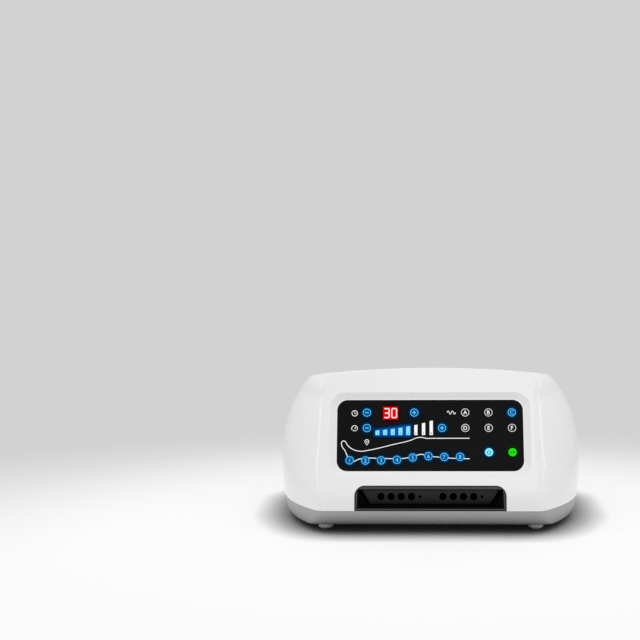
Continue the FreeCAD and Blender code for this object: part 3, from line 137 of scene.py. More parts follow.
# %% [markdown]
# ## Moulded plastic
# Injection-moulded ABS takes its surface from the tool: mirror-polished steel gives a high gloss,
# spark-eroded steel gives a fine even grain.  Both are one recipe with another grain size and roughness.
# The colour drifts by a percent or two over several centimetres, as in any large moulding.

# %% A recipe for moulded and rubber parts
DRIFT_MM = 60                   # size of the slow changes in colour
GLOSS_SPREAD = 0.15             # how far the grain moves the roughness, as a share of it
COAT_ROUGHNESS = 0.04           # of the clear skin over a polished moulding


def moulded(name, colour, roughness, grain_mm, grain_depth, drift=0.03, ior=1.5, metallic=0.0, coat=0.0,
            shine=0.5):
    """A moulding: a base colour with slow drift, and the tool's grain as bump and as uneven roughness."""
    material, tree = blank(name)
    place = add(tree, "TexCoord").outputs["Object"]
    cloud = add(tree, "TexNoise", {"Vector": place, "Scale": 1 / (DRIFT_MM * MM), "Detail": 2.0})
    dark, light = toned(linear(colour), 1 - drift), toned(linear(colour), 1 + drift)
    tone = add(tree, "Mix", {0: cloud.outputs["Fac"], 6: dark, 7: light}, data_type="RGBA")
    grain = add(tree, "TexNoise", {"Vector": place, "Scale": 1 / (grain_mm * MM), "Detail": 3.0})
    gloss = add(tree, "MapRange", {"Value": grain.outputs["Fac"], "To Min": roughness * (1 - GLOSS_SPREAD),
                                   "To Max": roughness * (1 + GLOSS_SPREAD)})
    bump = add(tree, "Bump", {"Height": grain.outputs["Fac"], "Strength": 1.0, "Distance": grain_depth * MM})
    shader = add(tree, "BsdfPrincipled", {"Base Color": tone.outputs[2], "Roughness": gloss.outputs[0],
                                          "Metallic": metallic, "IOR": ior, "Normal": bump.outputs[0],
                                          "Coat Weight": coat, "Coat Roughness": COAT_ROUGHNESS,
                                          "Specular IOR Level": shine})
    return finish_with(material, shader)


print("colour drifts over", DRIFT_MM, "mm")

# %% Finishes of the record's material slots
FINISHES = {
    # Piano-gloss ABS: a clean mirror skin over a white body, with only a trace of orange peel.
    "white_gloss": moulded("white_gloss_abs", "EBEBEB", 0.16, 4.0, 0.0012, drift=0.006, coat=0.35),
    # The tray's tool is spark-eroded, so the grey looks satin.  The grain is drawn at 0.7 mm to show.
    "tray_grey": moulded("spark_eroded_grey_abs", "A7A7A7", 0.42, 0.7, 0.006),
    "bay_grey": moulded("spark_eroded_dark_abs", "38383A", 0.40, 0.7, 0.006, shine=0.4),
    "port_black": moulded("moulded_black_nylon", "111112", 0.38, 0.6, 0.005, shine=0.35),
    "component_black": moulded("epoxy_moulding", "161616", 0.5, 0.6, 0.006),
    "inner_white": moulded("natural_nylon", "D8D6CE", 0.45, 0.8, 0.006),
    # Silicone feet and rubber mounts scatter light softly; their tools are fairly rough.
    "rubber_pale": moulded("silicone_rubber_pale", "DCDCDA", 0.5, 0.5, 0.004, ior=1.41),
    "rubber_black": moulded("nitrile_rubber", "111111", 0.6, 0.5, 0.01, ior=1.52),
    "hose_clear": moulded("soft_pvc_hose", "C8CCCC", 0.3, 1.2, 0.004, ior=1.53),
    "board_green": moulded("solder_mask_green", "0F4A26", 0.25, 3.0, 0.003),
    # Metals keep their own reflection and only a fine grain from rolling, plating or drawing.
    "steel": moulded("zinc_plated_sheet_steel", "B9B9BC", 0.32, 0.5, 0.004, metallic=1.0),
    "zinc": moulded("zinc_plated_screw_steel", "C6C6CA", 0.25, 0.4, 0.004, metallic=1.0),
    "copper": moulded("enamelled_copper_wire", "B8703A", 0.3, 0.5, 0.02, metallic=1.0),
    "brass_contact": moulded("nickel_plated_brass", "C9C2AC", 0.22, 0.5, 0.003, metallic=1.0),
}
print("moulded finishes:", len(FINISHES))

# %% [markdown]
# ## The panel's own frame
# The panel leans back by twenty degrees.  Marks are modelled flat, as on a drawing, with x to the right and
# y up the panel, and then brought to the panel's front plane with one matrix.

# %% Find the panel
FACE_TILT = math.radians(20)
LENS_THICK = 2.0 * MM
FRONT_DEPTH = 0.05 * MM         # a corner less deep than this in the panel lies on a front face
panel_low, panel_high = (Vector(corner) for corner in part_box("panel_lens"))
outwards = Vector((0, -math.cos(FACE_TILT), math.sin(FACE_TILT)))
panel_front = (panel_low + panel_high) / 2 + outwards * LENS_THICK / 2
ON_PANEL = Matrix.Translation(panel_front) @ Matrix.Rotation(math.pi / 2 - FACE_TILT, 4, "X")


def on_panel(node):
    """The middle of a node's front face as x and y on the panel, in metres."""
    corners = [ON_PANEL.inverted() @ corner.co for corner in frame["nodes"][node].data.vertices]
    front = [corner for corner in corners if corner.z > -FRONT_DEPTH]
    across, up = [corner.x for corner in front], [corner.y for corner in front]
    return Vector((min(across) + max(across), min(up) + max(up))) / 2


key_names = [name for name in frame["nodes"] if name.endswith("_key")]
print("keys:", len(key_names), "first at", [round(c / MM, 1) for c in on_panel(key_names[0])])

# %% [markdown]
# ## Light inside the panel
# Light leaks sideways in the clear sheet, so each lit key has a soft ring of glow on the black around it,
# and the lit bars share one glowing band.  Blurring the finished picture could give such a glow, but only
# from one side.  Here the material works it out from the distance to each key, so it stays on the panel
# from any side.  The sheet's own faint grey is taken back where it glows, as a camera set for the bright
# light would see it.

# %% The glow of a key
CHAMBER_COUNT = 8
LIT_KEYS = ["time_minus_key", "time_plus_key", "pressure_minus_key", "pressure_plus_key", "mode_c_key",
            "power_key"] + ["chamber_%d_key" % (i + 1) for i in range(CHAMBER_COUNT)]
KEY_RING = 3.9 * MM             # outer radius of a key's mark
# A glow is full up to its first distance and gone at its second one.
KEY_GLOW = (KEY_RING, 8.4 * MM, "003A62")
OTHER_GLOWS = {"digit_filter": (6.0 * MM, 13.0 * MM, "3A0300"), "start_key": (KEY_RING, 7.6 * MM, "003E00")}


def fading(tree, distance, glow, power):
    """A glow that fades with distance, as a colour output."""
    near, far, colour = glow
    fade = add(tree, "MapRange", {"Value": distance, "From Min": near, "From Max": far,
                                  "To Min": 1.0, "To Max": 0.0})
    fade = add(tree, "Math", {0: fade.outputs[0], 1: power}, operation="POWER")
    faded = add(tree, "VectorMath", {0: linear(colour)[:3], "Scale": fade.outputs[0]}, operation="SCALE")
    return faded.outputs[0]


def key_glow(tree, place, name):
    """Glow around a key or the display."""
    centre = ON_PANEL @ Vector((*on_panel(name), 0))
    offset = add(tree, "VectorMath", {0: place, 1: centre}, operation="SUBTRACT")
    reach = add(tree, "VectorMath", {0: offset.outputs[0]}, operation="LENGTH")
    return fading(tree, reach.outputs["Value"], OTHER_GLOWS.get(name, KEY_GLOW), 2.0)


print("glowing places:", len(LIT_KEYS) + len(OTHER_GLOWS))

# %% The glow of the lit bars
LIT_BARS = 5
BAR_FIRST, BAR_PITCH, BAR_BASE = -50.4 * MM, 7.38 * MM, 0.3 * MM
BAR_HALF, BAR_RISE = 2.4 * MM, 0.068    # half the first bar's height, and its growth along the row
BAR_CORE = 1.6 * MM             # half of a bar's width that glows in full
BAND_ROUNDING = 2.5 * MM        # how round the band's corners are
BAR_GLOW = (0.0, 5.2 * MM, "00559E")


def bar_glow(tree, place):
    """Glow of the lit bars: a band as high as their rising tops, which fades around them."""
    across = add(tree, "SeparateXYZ", {0: place}).outputs["X"]
    lean = ON_PANEL.to_3x3() @ Vector((0, 1, 0))
    offset = add(tree, "VectorMath", {0: place, 1: ON_PANEL.translation}, operation="SUBTRACT")
    height = add(tree, "VectorMath", {0: offset.outputs[0], 1: lean}, operation="DOT_PRODUCT")
    along = add(tree, "Math", {0: across, 1: BAR_FIRST}, operation="SUBTRACT")
    half = add(tree, "Math", {0: along.outputs[0], 1: BAR_RISE, 2: BAR_HALF}, operation="MULTIPLY_ADD")
    middle = add(tree, "Math", {0: half.outputs[0], 1: BAR_BASE}, operation="ADD")
    above = add(tree, "Math", {0: height.outputs["Value"], 1: middle.outputs[0]}, operation="SUBTRACT")
    above = add(tree, "Math", {0: above.outputs[0]}, operation="ABSOLUTE")
    above = add(tree, "Math", {0: above.outputs[0], 1: half.outputs[0]}, operation="SUBTRACT")
    length = (LIT_BARS - 1) * BAR_PITCH
    beside = add(tree, "Math", {0: along.outputs[0], 1: length / 2}, operation="SUBTRACT")
    beside = add(tree, "Math", {0: beside.outputs[0]}, operation="ABSOLUTE")
    beside = add(tree, "Math", {0: beside.outputs[0], 1: length / 2 + BAR_CORE}, operation="SUBTRACT")
    outside = add(tree, "Math", {0: above.outputs[0], 1: beside.outputs[0], 2: BAND_ROUNDING},
                  operation="SMOOTH_MAX")
    return fading(tree, outside.outputs[0], BAR_GLOW, 3.0)


print("length of the glowing band in mm:", round((LIT_BARS - 1) * BAR_PITCH / MM, 1))

# %% The black panel
ACRYLIC_IOR = 1.49
NO_GLARE = 0.01                 # specular level: an anti-glare coat leaves hardly any mirror image
SHEET_DARK, SHEET_PALE = "141415", "181818"     # the sheet's own grey
SHEET_DRIFT_MM = 40             # size of that grey's slow changes
GREY_GONE = 0.02                # the glow at which the grey is gone


def panel_acrylic():
    """Polished acrylic, printed black behind, with the leaking light of the keys, the digits and the bars."""
    material, tree = blank("back_printed_acrylic")
    place = add(tree, "TexCoord").outputs["Object"]
    total = bar_glow(tree, place)
    for name in LIT_KEYS + list(OTHER_GLOWS):
        total = add(tree, "VectorMath", {0: total, 1: key_glow(tree, place, name)}).outputs[0]
    cloud = add(tree, "TexNoise", {"Vector": place, "Scale": 1 / (SHEET_DRIFT_MM * MM)})
    tone = add(tree, "Mix", {0: cloud.outputs["Fac"], 6: linear(SHEET_DARK), 7: linear(SHEET_PALE)},
               data_type="RGBA")
    light = add(tree, "VectorMath", {0: total}, operation="LENGTH")
    grey = add(tree, "MapRange", {"Value": light.outputs["Value"], "From Max": GREY_GONE,
                                  "To Min": 1.0, "To Max": 0.0})
    tone = add(tree, "VectorMath", {0: tone.outputs[2], "Scale": grey.outputs[0]}, operation="SCALE")
    shader = add(tree, "BsdfPrincipled", {"Base Color": tone.outputs[0], "Roughness": 0.09,
                                          "IOR": ACRYLIC_IOR, "Specular IOR Level": NO_GLARE,
                                          "Emission Color": total, "Emission Strength": 1.0})
    return finish_with(material, shader)


FINISHES["panel_black"] = panel_acrylic()
print("nodes in the panel's material:", len(FINISHES["panel_black"].node_tree.nodes))

# %% Lit windows and prints
PATCH_MM = 6                    # size of the uneven patches in a lit print
UNEVEN = 0.12                   # how much darker those patches are
UNLIT = 0.2                     # how bright a print's own paint is beside its light


def lit(name, code):
    """A back-lit window or print: its colour glows, a little unevenly, through a diffuser.  On a print with
    no light behind it, the glow is painted light.
    """
    material, tree = blank(name)
    place = add(tree, "TexCoord").outputs["Object"]
    cloud = add(tree, "TexNoise", {"Vector": place, "Scale": 1 / (PATCH_MM * MM)})
    colour = linear(code)
    low = toned(colour, 1 - UNEVEN)
    tone = add(tree, "Mix", {0: cloud.outputs["Fac"], 6: low, 7: colour}, data_type="RGBA")
    shader = add(tree, "BsdfPrincipled", {"Base Color": toned(colour, UNLIT), "Roughness": 0.2,
                                          "IOR": ACRYLIC_IOR, "Specular IOR Level": NO_GLARE,
                                          "Emission Color": tone.outputs[2], "Emission Strength": 1.0})
    return finish_with(material, shader)


FINISHES["key_black"] = moulded("key_cap_acrylic", "070708", 0.12, 2.0, 0.0005, shine=0.04)
FINISHES["digit_red"] = lit("red_display_filter", "C4080A")
FINISHES["bar_blue"] = lit("light_guide_blue", "5FB6F5")
print("finishes with the lit ones:", len(FINISHES))

# %% Give every CAD node its finish
for part in frame["record"]["subparts"]:
    node = frame["nodes"][part["node"]]
    node.data.materials.clear()
    node.data.materials.append(FINISHES[part["material_slot"]])
# The inlet's tool is polished more finely than the port plate's, so its edges catch the light.
inlet_finish = moulded("polished_black_nylon", "202022", 0.28, 0.6, 0.003)
for name in ("mains_inlet", "fuse_drawer", "power_rocker"):
    frame["nodes"][name].data.materials[0] = inlet_finish

# %% [markdown]
# ## Level bars
# Eight slanted windows rise to the right.  The first five are lit blue and the others show white through a
# narrower opening in the black print.  Eight materials would do, but one is enough: it picks its colour by
# the place along the panel and paints the black mask beside each white window.

# %% Colour the bars by their place
BAR_COUNT = 8
WHITE_WINDOW = 3.1 * MM         # a white window's open width
WINDOW_BLUE, WINDOW_PALE, MASK_BLACK = "86DCFF", "F6F6F6", "0A0A0B"


def bar_windows():
    """Blue light up to the last lit bar, white beyond it, where a black print masks the windows' sides."""
    material, tree = blank("level_windows")
    place = add(tree, "TexCoord").outputs["Object"]
    across = add(tree, "SeparateXYZ", {0: place}).outputs["X"]
    edge = BAR_FIRST + (LIT_BARS - 0.5) * BAR_PITCH
    white = add(tree, "Math", {0: across, 1: edge}, operation="GREATER_THAN")
    tone = add(tree, "Mix", {0: white.outputs[0], 6: linear(WINDOW_BLUE), 7: linear(WINDOW_PALE)},
               data_type="RGBA")
    # A step is one bar's pitch, and its whole numbers lie halfway between the bars.
    step = add(tree, "Math", {0: across, 1: 1 / BAR_PITCH, 2: 0.5 - BAR_FIRST / BAR_PITCH},
               operation="MULTIPLY_ADD")
    step = add(tree, "Math", {0: step.outputs[0]}, operation="FRACT")
    aside = add(tree, "Math", {0: step.outputs[0], 1: 0.5}, operation="SUBTRACT")
    aside = add(tree, "Math", {0: aside.outputs[0]}, operation="ABSOLUTE")
    mask = add(tree, "Math", {0: aside.outputs[0], 1: WHITE_WINDOW / 2 / BAR_PITCH}, operation="GREATER_THAN")
    mask = add(tree, "Math", {0: mask.outputs[0], 1: white.outputs[0]}, operation="MULTIPLY")
    tone = add(tree, "Mix", {0: mask.outputs[0], 6: tone.outputs[2], 7: linear(MASK_BLACK)},
               data_type="RGBA")
    shader = add(tree, "BsdfPrincipled", {"Base Color": linear("303030"), "Roughness": 0.2,
                                          "Specular IOR Level": 0.04, "Emission Color": tone.outputs[2],
                                          "Emission Strength": 1.0})
    return finish_with(material, shader)


frame["nodes"]["level_bars"].data.materials[0] = bar_windows()
print("lit bars:", LIT_BARS, "of", BAR_COUNT)

# %% [markdown]
# ## Smooth skins
# The solids come as loose triangles.  A curved moulding is copied, its corners are merged, and its normals
# are averaged where it bends softly, weighted by area so that flat faces stay flat.  The copy then stands
# for the solid.  The old normals are cleared first, because after the merge they no longer fit the faces.
#
# The housing is cut level every four millimetres, so that its long flank faces get corners in between, and
# the normals of its front corners are blurred: on the real moulding light runs over them without a break.
# The bay's rim is set back a little and inset, which rounds its edge.  The rim's borders and the walls behind
# it get a coarser grain and a near-black colour: painted shade.
# The port plate stays flat-shaded, as a plain bored plate; its bores are painted near black for shade.

# %% Copy the large mouldings and smooth them
SOFT_ANGLE = math.radians(24)   # a gentler bend is shaded smooth
MERGE_REACH = 0.002 * MM
HOUSING_CUTS = range(66, 142, 4)        # heights in millimetres


def only(piece):
    """Makes a piece the one selected and active object."""
    bpy.ops.object.select_all(action="DESELECT")
    piece.select_set(True)
    bpy.context.view_layer.objects.active = piece


def merged_copy(node, name, cuts=()):
    """A copy with merged corners that stands for a node, cut level at some heights in millimetres."""
    only(frame["nodes"][node])
    bpy.ops.object.duplicate()
    piece = bpy.context.object
    piece.name = name
    bpy.ops.object.parent_clear(type="CLEAR_KEEP_TRANSFORM")
    bpy.ops.object.mode_set(mode="EDIT")
    bpy.ops.mesh.select_all(action="SELECT")
    bpy.ops.mesh.remove_doubles(threshold=MERGE_REACH)
    for height in cuts:
        bpy.ops.mesh.select_all(action="SELECT")
        bpy.ops.mesh.bisect(plane_co=(0, 0, height * MM), plane_no=(0, 0, 1))
    bpy.ops.object.mode_set(mode="OBJECT")
    bpy.ops.mesh.customdata_custom_splitnormals_clear()
    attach(piece, "housing")
    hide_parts(node)
    print(name, "has", len(piece.data.polygons), "faces")
    return piece


def smooth(piece):
    """Shades a piece's gentle bends smooth, weighted by the area of its faces."""
    only(piece)
    bpy.ops.object.shade_smooth_by_angle(angle=SOFT_ANGLE)
    bpy.ops.object.modifier_add(type="WEIGHTED_NORMAL")
    piece.modifiers[-1].keep_sharp = True
    bpy.ops.object.modifier_apply(modifier=piece.modifiers[-1].name)


housing_skin = merged_copy("upper_shell", "white_housing", cuts=HOUSING_CUTS)
tray_skin = merged_copy("lower_shell", "grey_tray")
bay_surround = merged_copy("port_bay", "bay_surround")
rubber_feet = merged_copy("feet", "rubber_feet")
for skin in (housing_skin, tray_skin, rubber_feet):
    smooth(skin)

# %% Soften the light on the housing's front corners
CORNER_X, CORNER_BACK = 99.5, 60        # corners and flanks lie outside this x and in front of this y, in mm
CHIN_TOP, RIM_FOOT = 62, 138            # and between these heights, in mm
TOP_FACING = 0.55                       # a face that looks up more than this is part of the top
BLUR_TURNS = 70


def select_faces(piece, wanted):
    """Opens a piece in face mode with only the wanted faces selected."""
    only(piece)
    bpy.context.tool_settings.mesh_select_mode = (False, False, True)
    bpy.ops.object.mode_set(mode="EDIT")
    bpy.ops.mesh.select_all(action="DESELECT")
    bpy.ops.object.mode_set(mode="OBJECT")
    for face in piece.data.polygons:
        face.select = wanted(face)
    bpy.ops.object.mode_set(mode="EDIT")


def at_corner(face):
    """Whether a face lies at a front corner or a flank of the housing, above the chin and below the rim."""
    x, y, z = face.center / MM
    return abs(x) > CORNER_X and y < CORNER_BACK and CHIN_TOP < z < RIM_FOOT and face.normal.z < TOP_FACING


select_faces(housing_skin, at_corner)
for turn in range(BLUR_TURNS):
    bpy.ops.mesh.smooth_normals(factor=0.5)
bpy.ops.object.mode_set(mode="OBJECT")
print("softened faces:", sum(face.select for face in housing_skin.data.polygons))

# %% A rounded rim for the bay, with painted shade on its borders and inside
BAY_FRONT = -100 * MM           # the rim's flush face lies in front of this
RIM_BACK, RIM_WIDE, RIM_DEEP = 0.5 * MM, 0.8 * MM, 0.5 * MM
FACING_FRONT = -0.8             # a front face's normal points forwards by more than this
select_faces(bay_surround, lambda face: face.normal.y < FACING_FRONT and face.center.y < BAY_FRONT)
bpy.ops.transform.translate(value=(0, RIM_BACK, 0))
bpy.ops.mesh.inset(thickness=RIM_WIDE, depth=RIM_DEEP, use_even_offset=True)
bpy.ops.object.mode_set(mode="OBJECT")
bpy.ops.object.shade_smooth_by_angle(angle=SOFT_ANGLE)
# Painted shade: the rim's borders and the walls behind it take a near-black, rough finish.
bay_surround.data.materials.append(moulded("bay_wall_painted_shade", "070708", 0.6, 0.9, 0.01, shine=0.08))
for face in bay_surround.data.polygons:
    face.material_index = 0 if face.select else 1
print("rim faces:", sum(face.select for face in bay_surround.data.polygons))

# %% Painted shade in the port plate's bores
PLATE_FRONT = -88 * MM          # the plate's front faces lie in front of this
port_plate = merged_copy("air_ports", "port_plate")
bpy.ops.object.shade_flat()
# Painted shade: every face but the plate's front is near black and dull, as the bores lie in shade.
port_plate.data.materials.append(moulded("port_bore_painted_shade", "020202", 0.8, 0.9, 0.01, shine=0.0))
for face in port_plate.data.polygons:
    on_front = face.normal.y < FACING_FRONT and face.center.y < PLATE_FRONT
    face.material_index = 0 if on_front else 1
print("plate faces:", sum(face.material_index == 0 for face in port_plate.data.polygons))

# %% [markdown]
# ## Marks on the keys
# Each key shows a ring with a sign inside it.  The ring is a thin disc with an inset face, whose outer band
# is raised a hair.  The sign is text or a line, cut as thin as print.  All are lit from behind, in blue,
# white or green, and ride on their keys.

# %% Finishes of the marks
RING_BLUE = lit("ring_light_blue", "5EC4F6")
FILL_BLUE = lit("key_light_blue", "004A88")
SIGN_BLUE = lit("sign_light_blue", "62C2FF")
RING_WHITE = lit("ring_print_white", "D8D8D8")
FILL_BLACK = moulded("key_print_black", "070708", 0.12, 2.0, 0.0005, shine=0.04)
SIGN_WHITE = lit("sign_print_white", "F2F2F2")
DISC_CYAN = lit("power_light_cyan", "84EAF8")
SIGN_DEEP = lit("power_sign_blue", "0E7090")
DISC_GREEN = lit("start_light_green", "20D812")
SIGN_GREEN = lit("start_sign_green", "036003")
LINE_WHITE = lit("line_print_white", "F4F4F0")
print("finishes in all:", len(bpy.data.materials))

# %% Helpers for discs and words
PRINT = 0.03 * MM               # a print stands this far above the panel
TEXT_BOLD = 0.012               # how much a letter's outline is widened, as a share of its size


def disc(line, materials):
    """A flat key mark: a thin disc whose rim band is its ring and whose middle is its fill."""
    bpy.ops.object.select_all(action="DESELECT")
    bpy.ops.mesh.primitive_cylinder_add(vertices=64, radius=KEY_RING, depth=PRINT, location=(0, 0, PRINT / 2))
    piece = bpy.context.object
    for material in materials:
        piece.data.materials.append(material)
    select_faces(piece, lambda face: face.normal.z > 0.5)
    bpy.ops.mesh.inset(thickness=line, depth=-PRINT / 3)
    bpy.ops.object.mode_set(mode="OBJECT")
    for face in piece.data.polygons:
        if face.select:
            face.material_index = 1
    return piece


def word(text, size, material):
    """A sign as a thin solid, centred on the origin."""
    bpy.ops.object.select_all(action="DESELECT")
    bpy.ops.object.text_add()
    sign = bpy.context.object
    sign.data.body = text
    sign.data.size = size
    sign.data.extrude = PRINT / 2
    sign.data.offset = TEXT_BOLD * size
    sign.data.resolution_u = 4
    sign.data.materials.append(material)
    bpy.ops.object.convert(target="MESH")
    bpy.ops.object.origin_set(type="ORIGIN_GEOMETRY", center="BOUNDS")
    sign.location = (0, 0, PRINT)
    return bpy.context.object


print("print height in mm:", round(PRINT / MM, 2))

# %% Helpers for lines
SIGN_HIGH, TOP_HIGH = 2 * PRINT, 3 * PRINT      # a sign stands above its fill, or above its plain disc


def arc(radius, start, end, count=12):
    """Points along an arc, in millimetres and degrees."""
    turns = [math.radians(start + (end - start) * i / count) for i in range(count + 1)]
    return [(radius * math.cos(turn), radius * math.sin(turn)) for turn in turns]


def stroke(points, width, material, smooth=False, closed=False, height=PRINT):
    """A printed line through points on the panel, in millimetres, with a flat oval section."""
    bpy.ops.object.select_all(action="DESELECT")
    bpy.ops.curve.primitive_bezier_curve_add()
    ribbon = bpy.context.object
    curve = ribbon.data
    curve.splines.clear()
    line = curve.splines.new("BEZIER" if smooth else "POLY")
    knots = line.bezier_points if smooth else line.points
    knots.add(len(points) - 1)
    for knot, (x, y) in zip(knots, points):
        if smooth:
            knot.co = Vector((x, y, 0)) * MM
            knot.handle_left_type = knot.handle_right_type = "AUTO"
        else:
            knot.co = (x * MM, y * MM, 0, 1)
    line.use_cyclic_u = closed
    curve.resolution_u = 10
    curve.bevel_depth = width / 2
    curve.bevel_resolution = 1
    curve.use_fill_caps = True
    curve.materials.append(material)
    bpy.ops.object.convert(target="MESH")
    ribbon = bpy.context.object
    ribbon.scale.z = height / (width / 2)
    bpy.ops.object.transform_apply(location=True, rotation=True, scale=True)
    return ribbon


print("sign heights in mm:", round(SIGN_HIGH / MM, 2), round(TOP_HIGH / MM, 2))

# %% A helper that puts a mark in its place
def assemble(name, pieces, x, y, body, plane=ON_PANEL):
    """Joins flat pieces, sets them at x and y on the panel or another plane, and ties them to a body."""
    only(pieces[0])
    for piece in pieces:
        piece.select_set(True)
    if len(pieces) > 1:
        bpy.ops.object.join()
    mark = bpy.context.object
    mark.name = name
    bpy.ops.object.transform_apply(location=True, rotation=True, scale=True)
    mark.matrix_world = plane @ Matrix.Translation((x, y, 0))
    bpy.ops.object.transform_apply(location=True, rotation=True, scale=True)
    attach(mark, body)


print("marks lie on the plane through", [round(c / MM, 1) for c in ON_PANEL.translation], "in mm")

# %% Rings and signs of the keys
RING_LINE, DISC_LINE = 0.6 * MM, 0.3 * MM
KEY_TEXT = 5.4 * MM
POWER_LINE, PLUS_LINE = 0.85 * MM, 1.15 * MM
TRIANGLE_LINE, PAUSE_LINE = 0.95 * MM, 0.8 * MM


def power_sign(material):
    """A ring open at the top with a short stroke."""
    ring = [(x, y - 0.2) for x, y in arc(1.8, -235, 55)]
    upright = [(0, 0.3), (0, 2.5)]
    return [stroke(points, POWER_LINE, material, height=TOP_HIGH) for points in (ring, upright)]


def start_sign(material):
    """A small triangle and two bars."""
    triangle = [(-1.9, 0.75), (-0.75, 0.0), (-1.9, -0.75)]
    signs = [stroke(triangle, TRIANGLE_LINE, material, closed=True, height=TOP_HIGH)]
    for x in (0.6, 1.9):
        signs.append(stroke([(x, 1.0), (x, -1.0)], PAUSE_LINE, material, height=TOP_HIGH))
    return signs


def plus_sign(material, upright):
    """A minus, or a plus with its upright."""
    bars = [stroke([(-1.75, 0), (1.75, 0)], PLUS_LINE, material, height=SIGN_HIGH)]
    if upright:
        bars.append(stroke([(0, -1.75), (0, 1.75)], PLUS_LINE, material, height=SIGN_HIGH))
    return bars


for key in key_names:
    x, y = on_panel(key)
    if key == "power_key":
        parts = [disc(DISC_LINE, [DISC_CYAN, DISC_CYAN])] + power_sign(SIGN_DEEP)
    elif key == "start_key":
        parts = [disc(DISC_LINE, [DISC_GREEN, DISC_GREEN])] + start_sign(SIGN_GREEN)
    elif key.startswith("chamber"):
        parts = [disc(RING_LINE, [RING_BLUE, FILL_BLUE]), word(key.split("_")[1], KEY_TEXT, SIGN_BLUE)]
    elif key.startswith("mode"):
        lit_key = key in LIT_KEYS
        colours = [RING_BLUE, FILL_BLUE] if lit_key else [RING_WHITE, FILL_BLACK]
        letter = key.split("_")[1].upper()
        parts = [disc(RING_LINE, colours), word(letter, KEY_TEXT, SIGN_BLUE if lit_key else SIGN_WHITE)]
    else:
        parts = [disc(RING_LINE, [RING_BLUE, FILL_BLUE])] + plus_sign(SIGN_BLUE, "plus" in key)
    assemble(key + "_mark", parts, x, y, key)
print("marked keys:", len(key_names))

# %% [markdown]
# ## Digits, pictures and the leg line
# The display shows two digits as thick strokes with cut corners.  Small pictures of a clock, a gauge, a
# wave and a marker stand for the labels of the rows, and each bar carries its number.  A thin line draws a
# leg from the side, and the eight chamber keys sit along its lower edge.  A mark is a line with a flat oval
# section, because a pen or a screen print has one width too.  The mains rocker at the back has the usual
# stroke for on and ring for off.

# %% Digits
DIGIT_WHITE = lit("digit_light", "FFD6D6")
DIGIT_LINE = 1.25 * MM
DIGIT_STEP = 3.6 * MM           # from the display's middle to a digit's middle
digit_x, digit_y = on_panel("digit_filter")


def digit_three(material):
    """A 3 of thick strokes, in a box of 4.8 by 9 mm."""
    outer = [(-2.2, 4.4), (1.5, 4.4), (2.3, 3.6), (2.3, 0.7), (1.6, 0),
             (2.3, -0.7), (2.3, -3.6), (1.5, -4.4), (-2.2, -4.4)]
    middle = [(-1.7, 0), (1.6, 0)]
    return [stroke(points, DIGIT_LINE, material, height=SIGN_HIGH) for points in (outer, middle)]


def digit_zero(material):
    """A 0 of thick strokes, in a box of 4.8 by 9 mm."""
    ring = [(-1.5, 4.4), (1.5, 4.4), (2.3, 3.6), (2.3, -3.6),
            (1.5, -4.4), (-1.5, -4.4), (-2.3, -3.6), (-2.3, 3.6)]
    return [stroke(ring, DIGIT_LINE, material, closed=True, height=SIGN_HIGH)]


assemble("digit_tens", digit_three(DIGIT_WHITE), digit_x - DIGIT_STEP, digit_y, "housing")
assemble("digit_ones", digit_zero(DIGIT_WHITE), digit_x + DIGIT_STEP, digit_y, "housing")
print("digits at", round(digit_x / MM, 1), round(digit_y / MM, 1))

# %% Small pictures
THIN = 0.6 * MM
clock = [stroke(arc(2.7, 0, 345), THIN, SIGN_WHITE, closed=True),
         stroke([(0, 1.7), (0, 0), (1.2, -0.7)], THIN, SIGN_WHITE)]
gauge = [stroke(arc(2.8, -35, 215), THIN, SIGN_WHITE),
         stroke([(0, -0.4), (1.3, 1.2)], THIN, SIGN_WHITE),
         stroke([(-1.7, -2.2), (1.7, -2.2)], THIN, SIGN_WHITE)]
ripple = [(0.5 * i - 4.0, 1.5 * math.sin(i * math.pi / 4)) for i in range(17)]
wave = [stroke(ripple, THIN, SIGN_WHITE, smooth=True)]
marker = [stroke(arc(1.9, -50, 230) + [(0, -3.6)], THIN, SIGN_WHITE, closed=True),
          stroke(arc(0.4, 0, 315, 6), THIN, SIGN_WHITE, closed=True)]
# Each picture's place on the panel, in millimetres.
PICTURES = {"clock": (clock, -72.4, 21.6), "gauge": (gauge, -72.4, 6.8),
            "wave": (wave, 20.6, 22.3), "marker": (marker, -60.5, -6.0)}
for name, (pieces, x, y) in PICTURES.items():
    assemble(name + "_picture", pieces, x * MM, y * MM, "housing")
print("pictures:", len(PICTURES))

# %% Numbers in the bars
BAR_INK_BLUE = lit("bar_print_blue", "2C86C0")
BAR_INK_GREY = lit("bar_print_grey", "6C6C6C")
BAR_TEXT = 2.6 * MM
BAR_TEXT_UP = 1.9 * MM          # from a bar's foot to its number's middle
for i in range(BAR_COUNT):
    number = word(str(i + 1), BAR_TEXT, BAR_INK_BLUE if i < LIT_BARS else BAR_INK_GREY)
    along = BAR_FIRST + i * BAR_PITCH
    assemble("bar_number_%d" % (i + 1), [number], along, BAR_BASE + BAR_TEXT_UP, "housing")
print("numbered bars:", BAR_COUNT)

# %% On and off on the rocker
ON_LINE, OFF_LINE = 0.8 * MM, 0.7 * MM
ROCKER_FACING = 0.7             # the rocker's outer faces look backwards by more than this
ROCKER_AREA = 10 * MM ** 2      # a smaller face belongs to its pins
SAME_PLANE = 0.99               # the cosine of the angle within which faces count as one plane


def rocker_half(pick):
    """The plane of the rocker's highest or lowest outer half: z outwards and y up."""
    faces = frame["nodes"]["power_rocker"].data.polygons
    large = [face for face in faces if face.normal.y > ROCKER_FACING and face.area > ROCKER_AREA]
    edge = pick(large, key=lambda face: face.center.z)
    half = [face.center for face in large if face.normal.dot(edge.normal) > SAME_PLANE]
    place = sum(half, Vector()) / len(half)
    across = Vector((0, 0, 1)).cross(edge.normal).normalized()
    turn = Matrix((across, edge.normal.cross(across), edge.normal)).transposed().to_4x4()
    return Matrix.Translation(place) @ turn
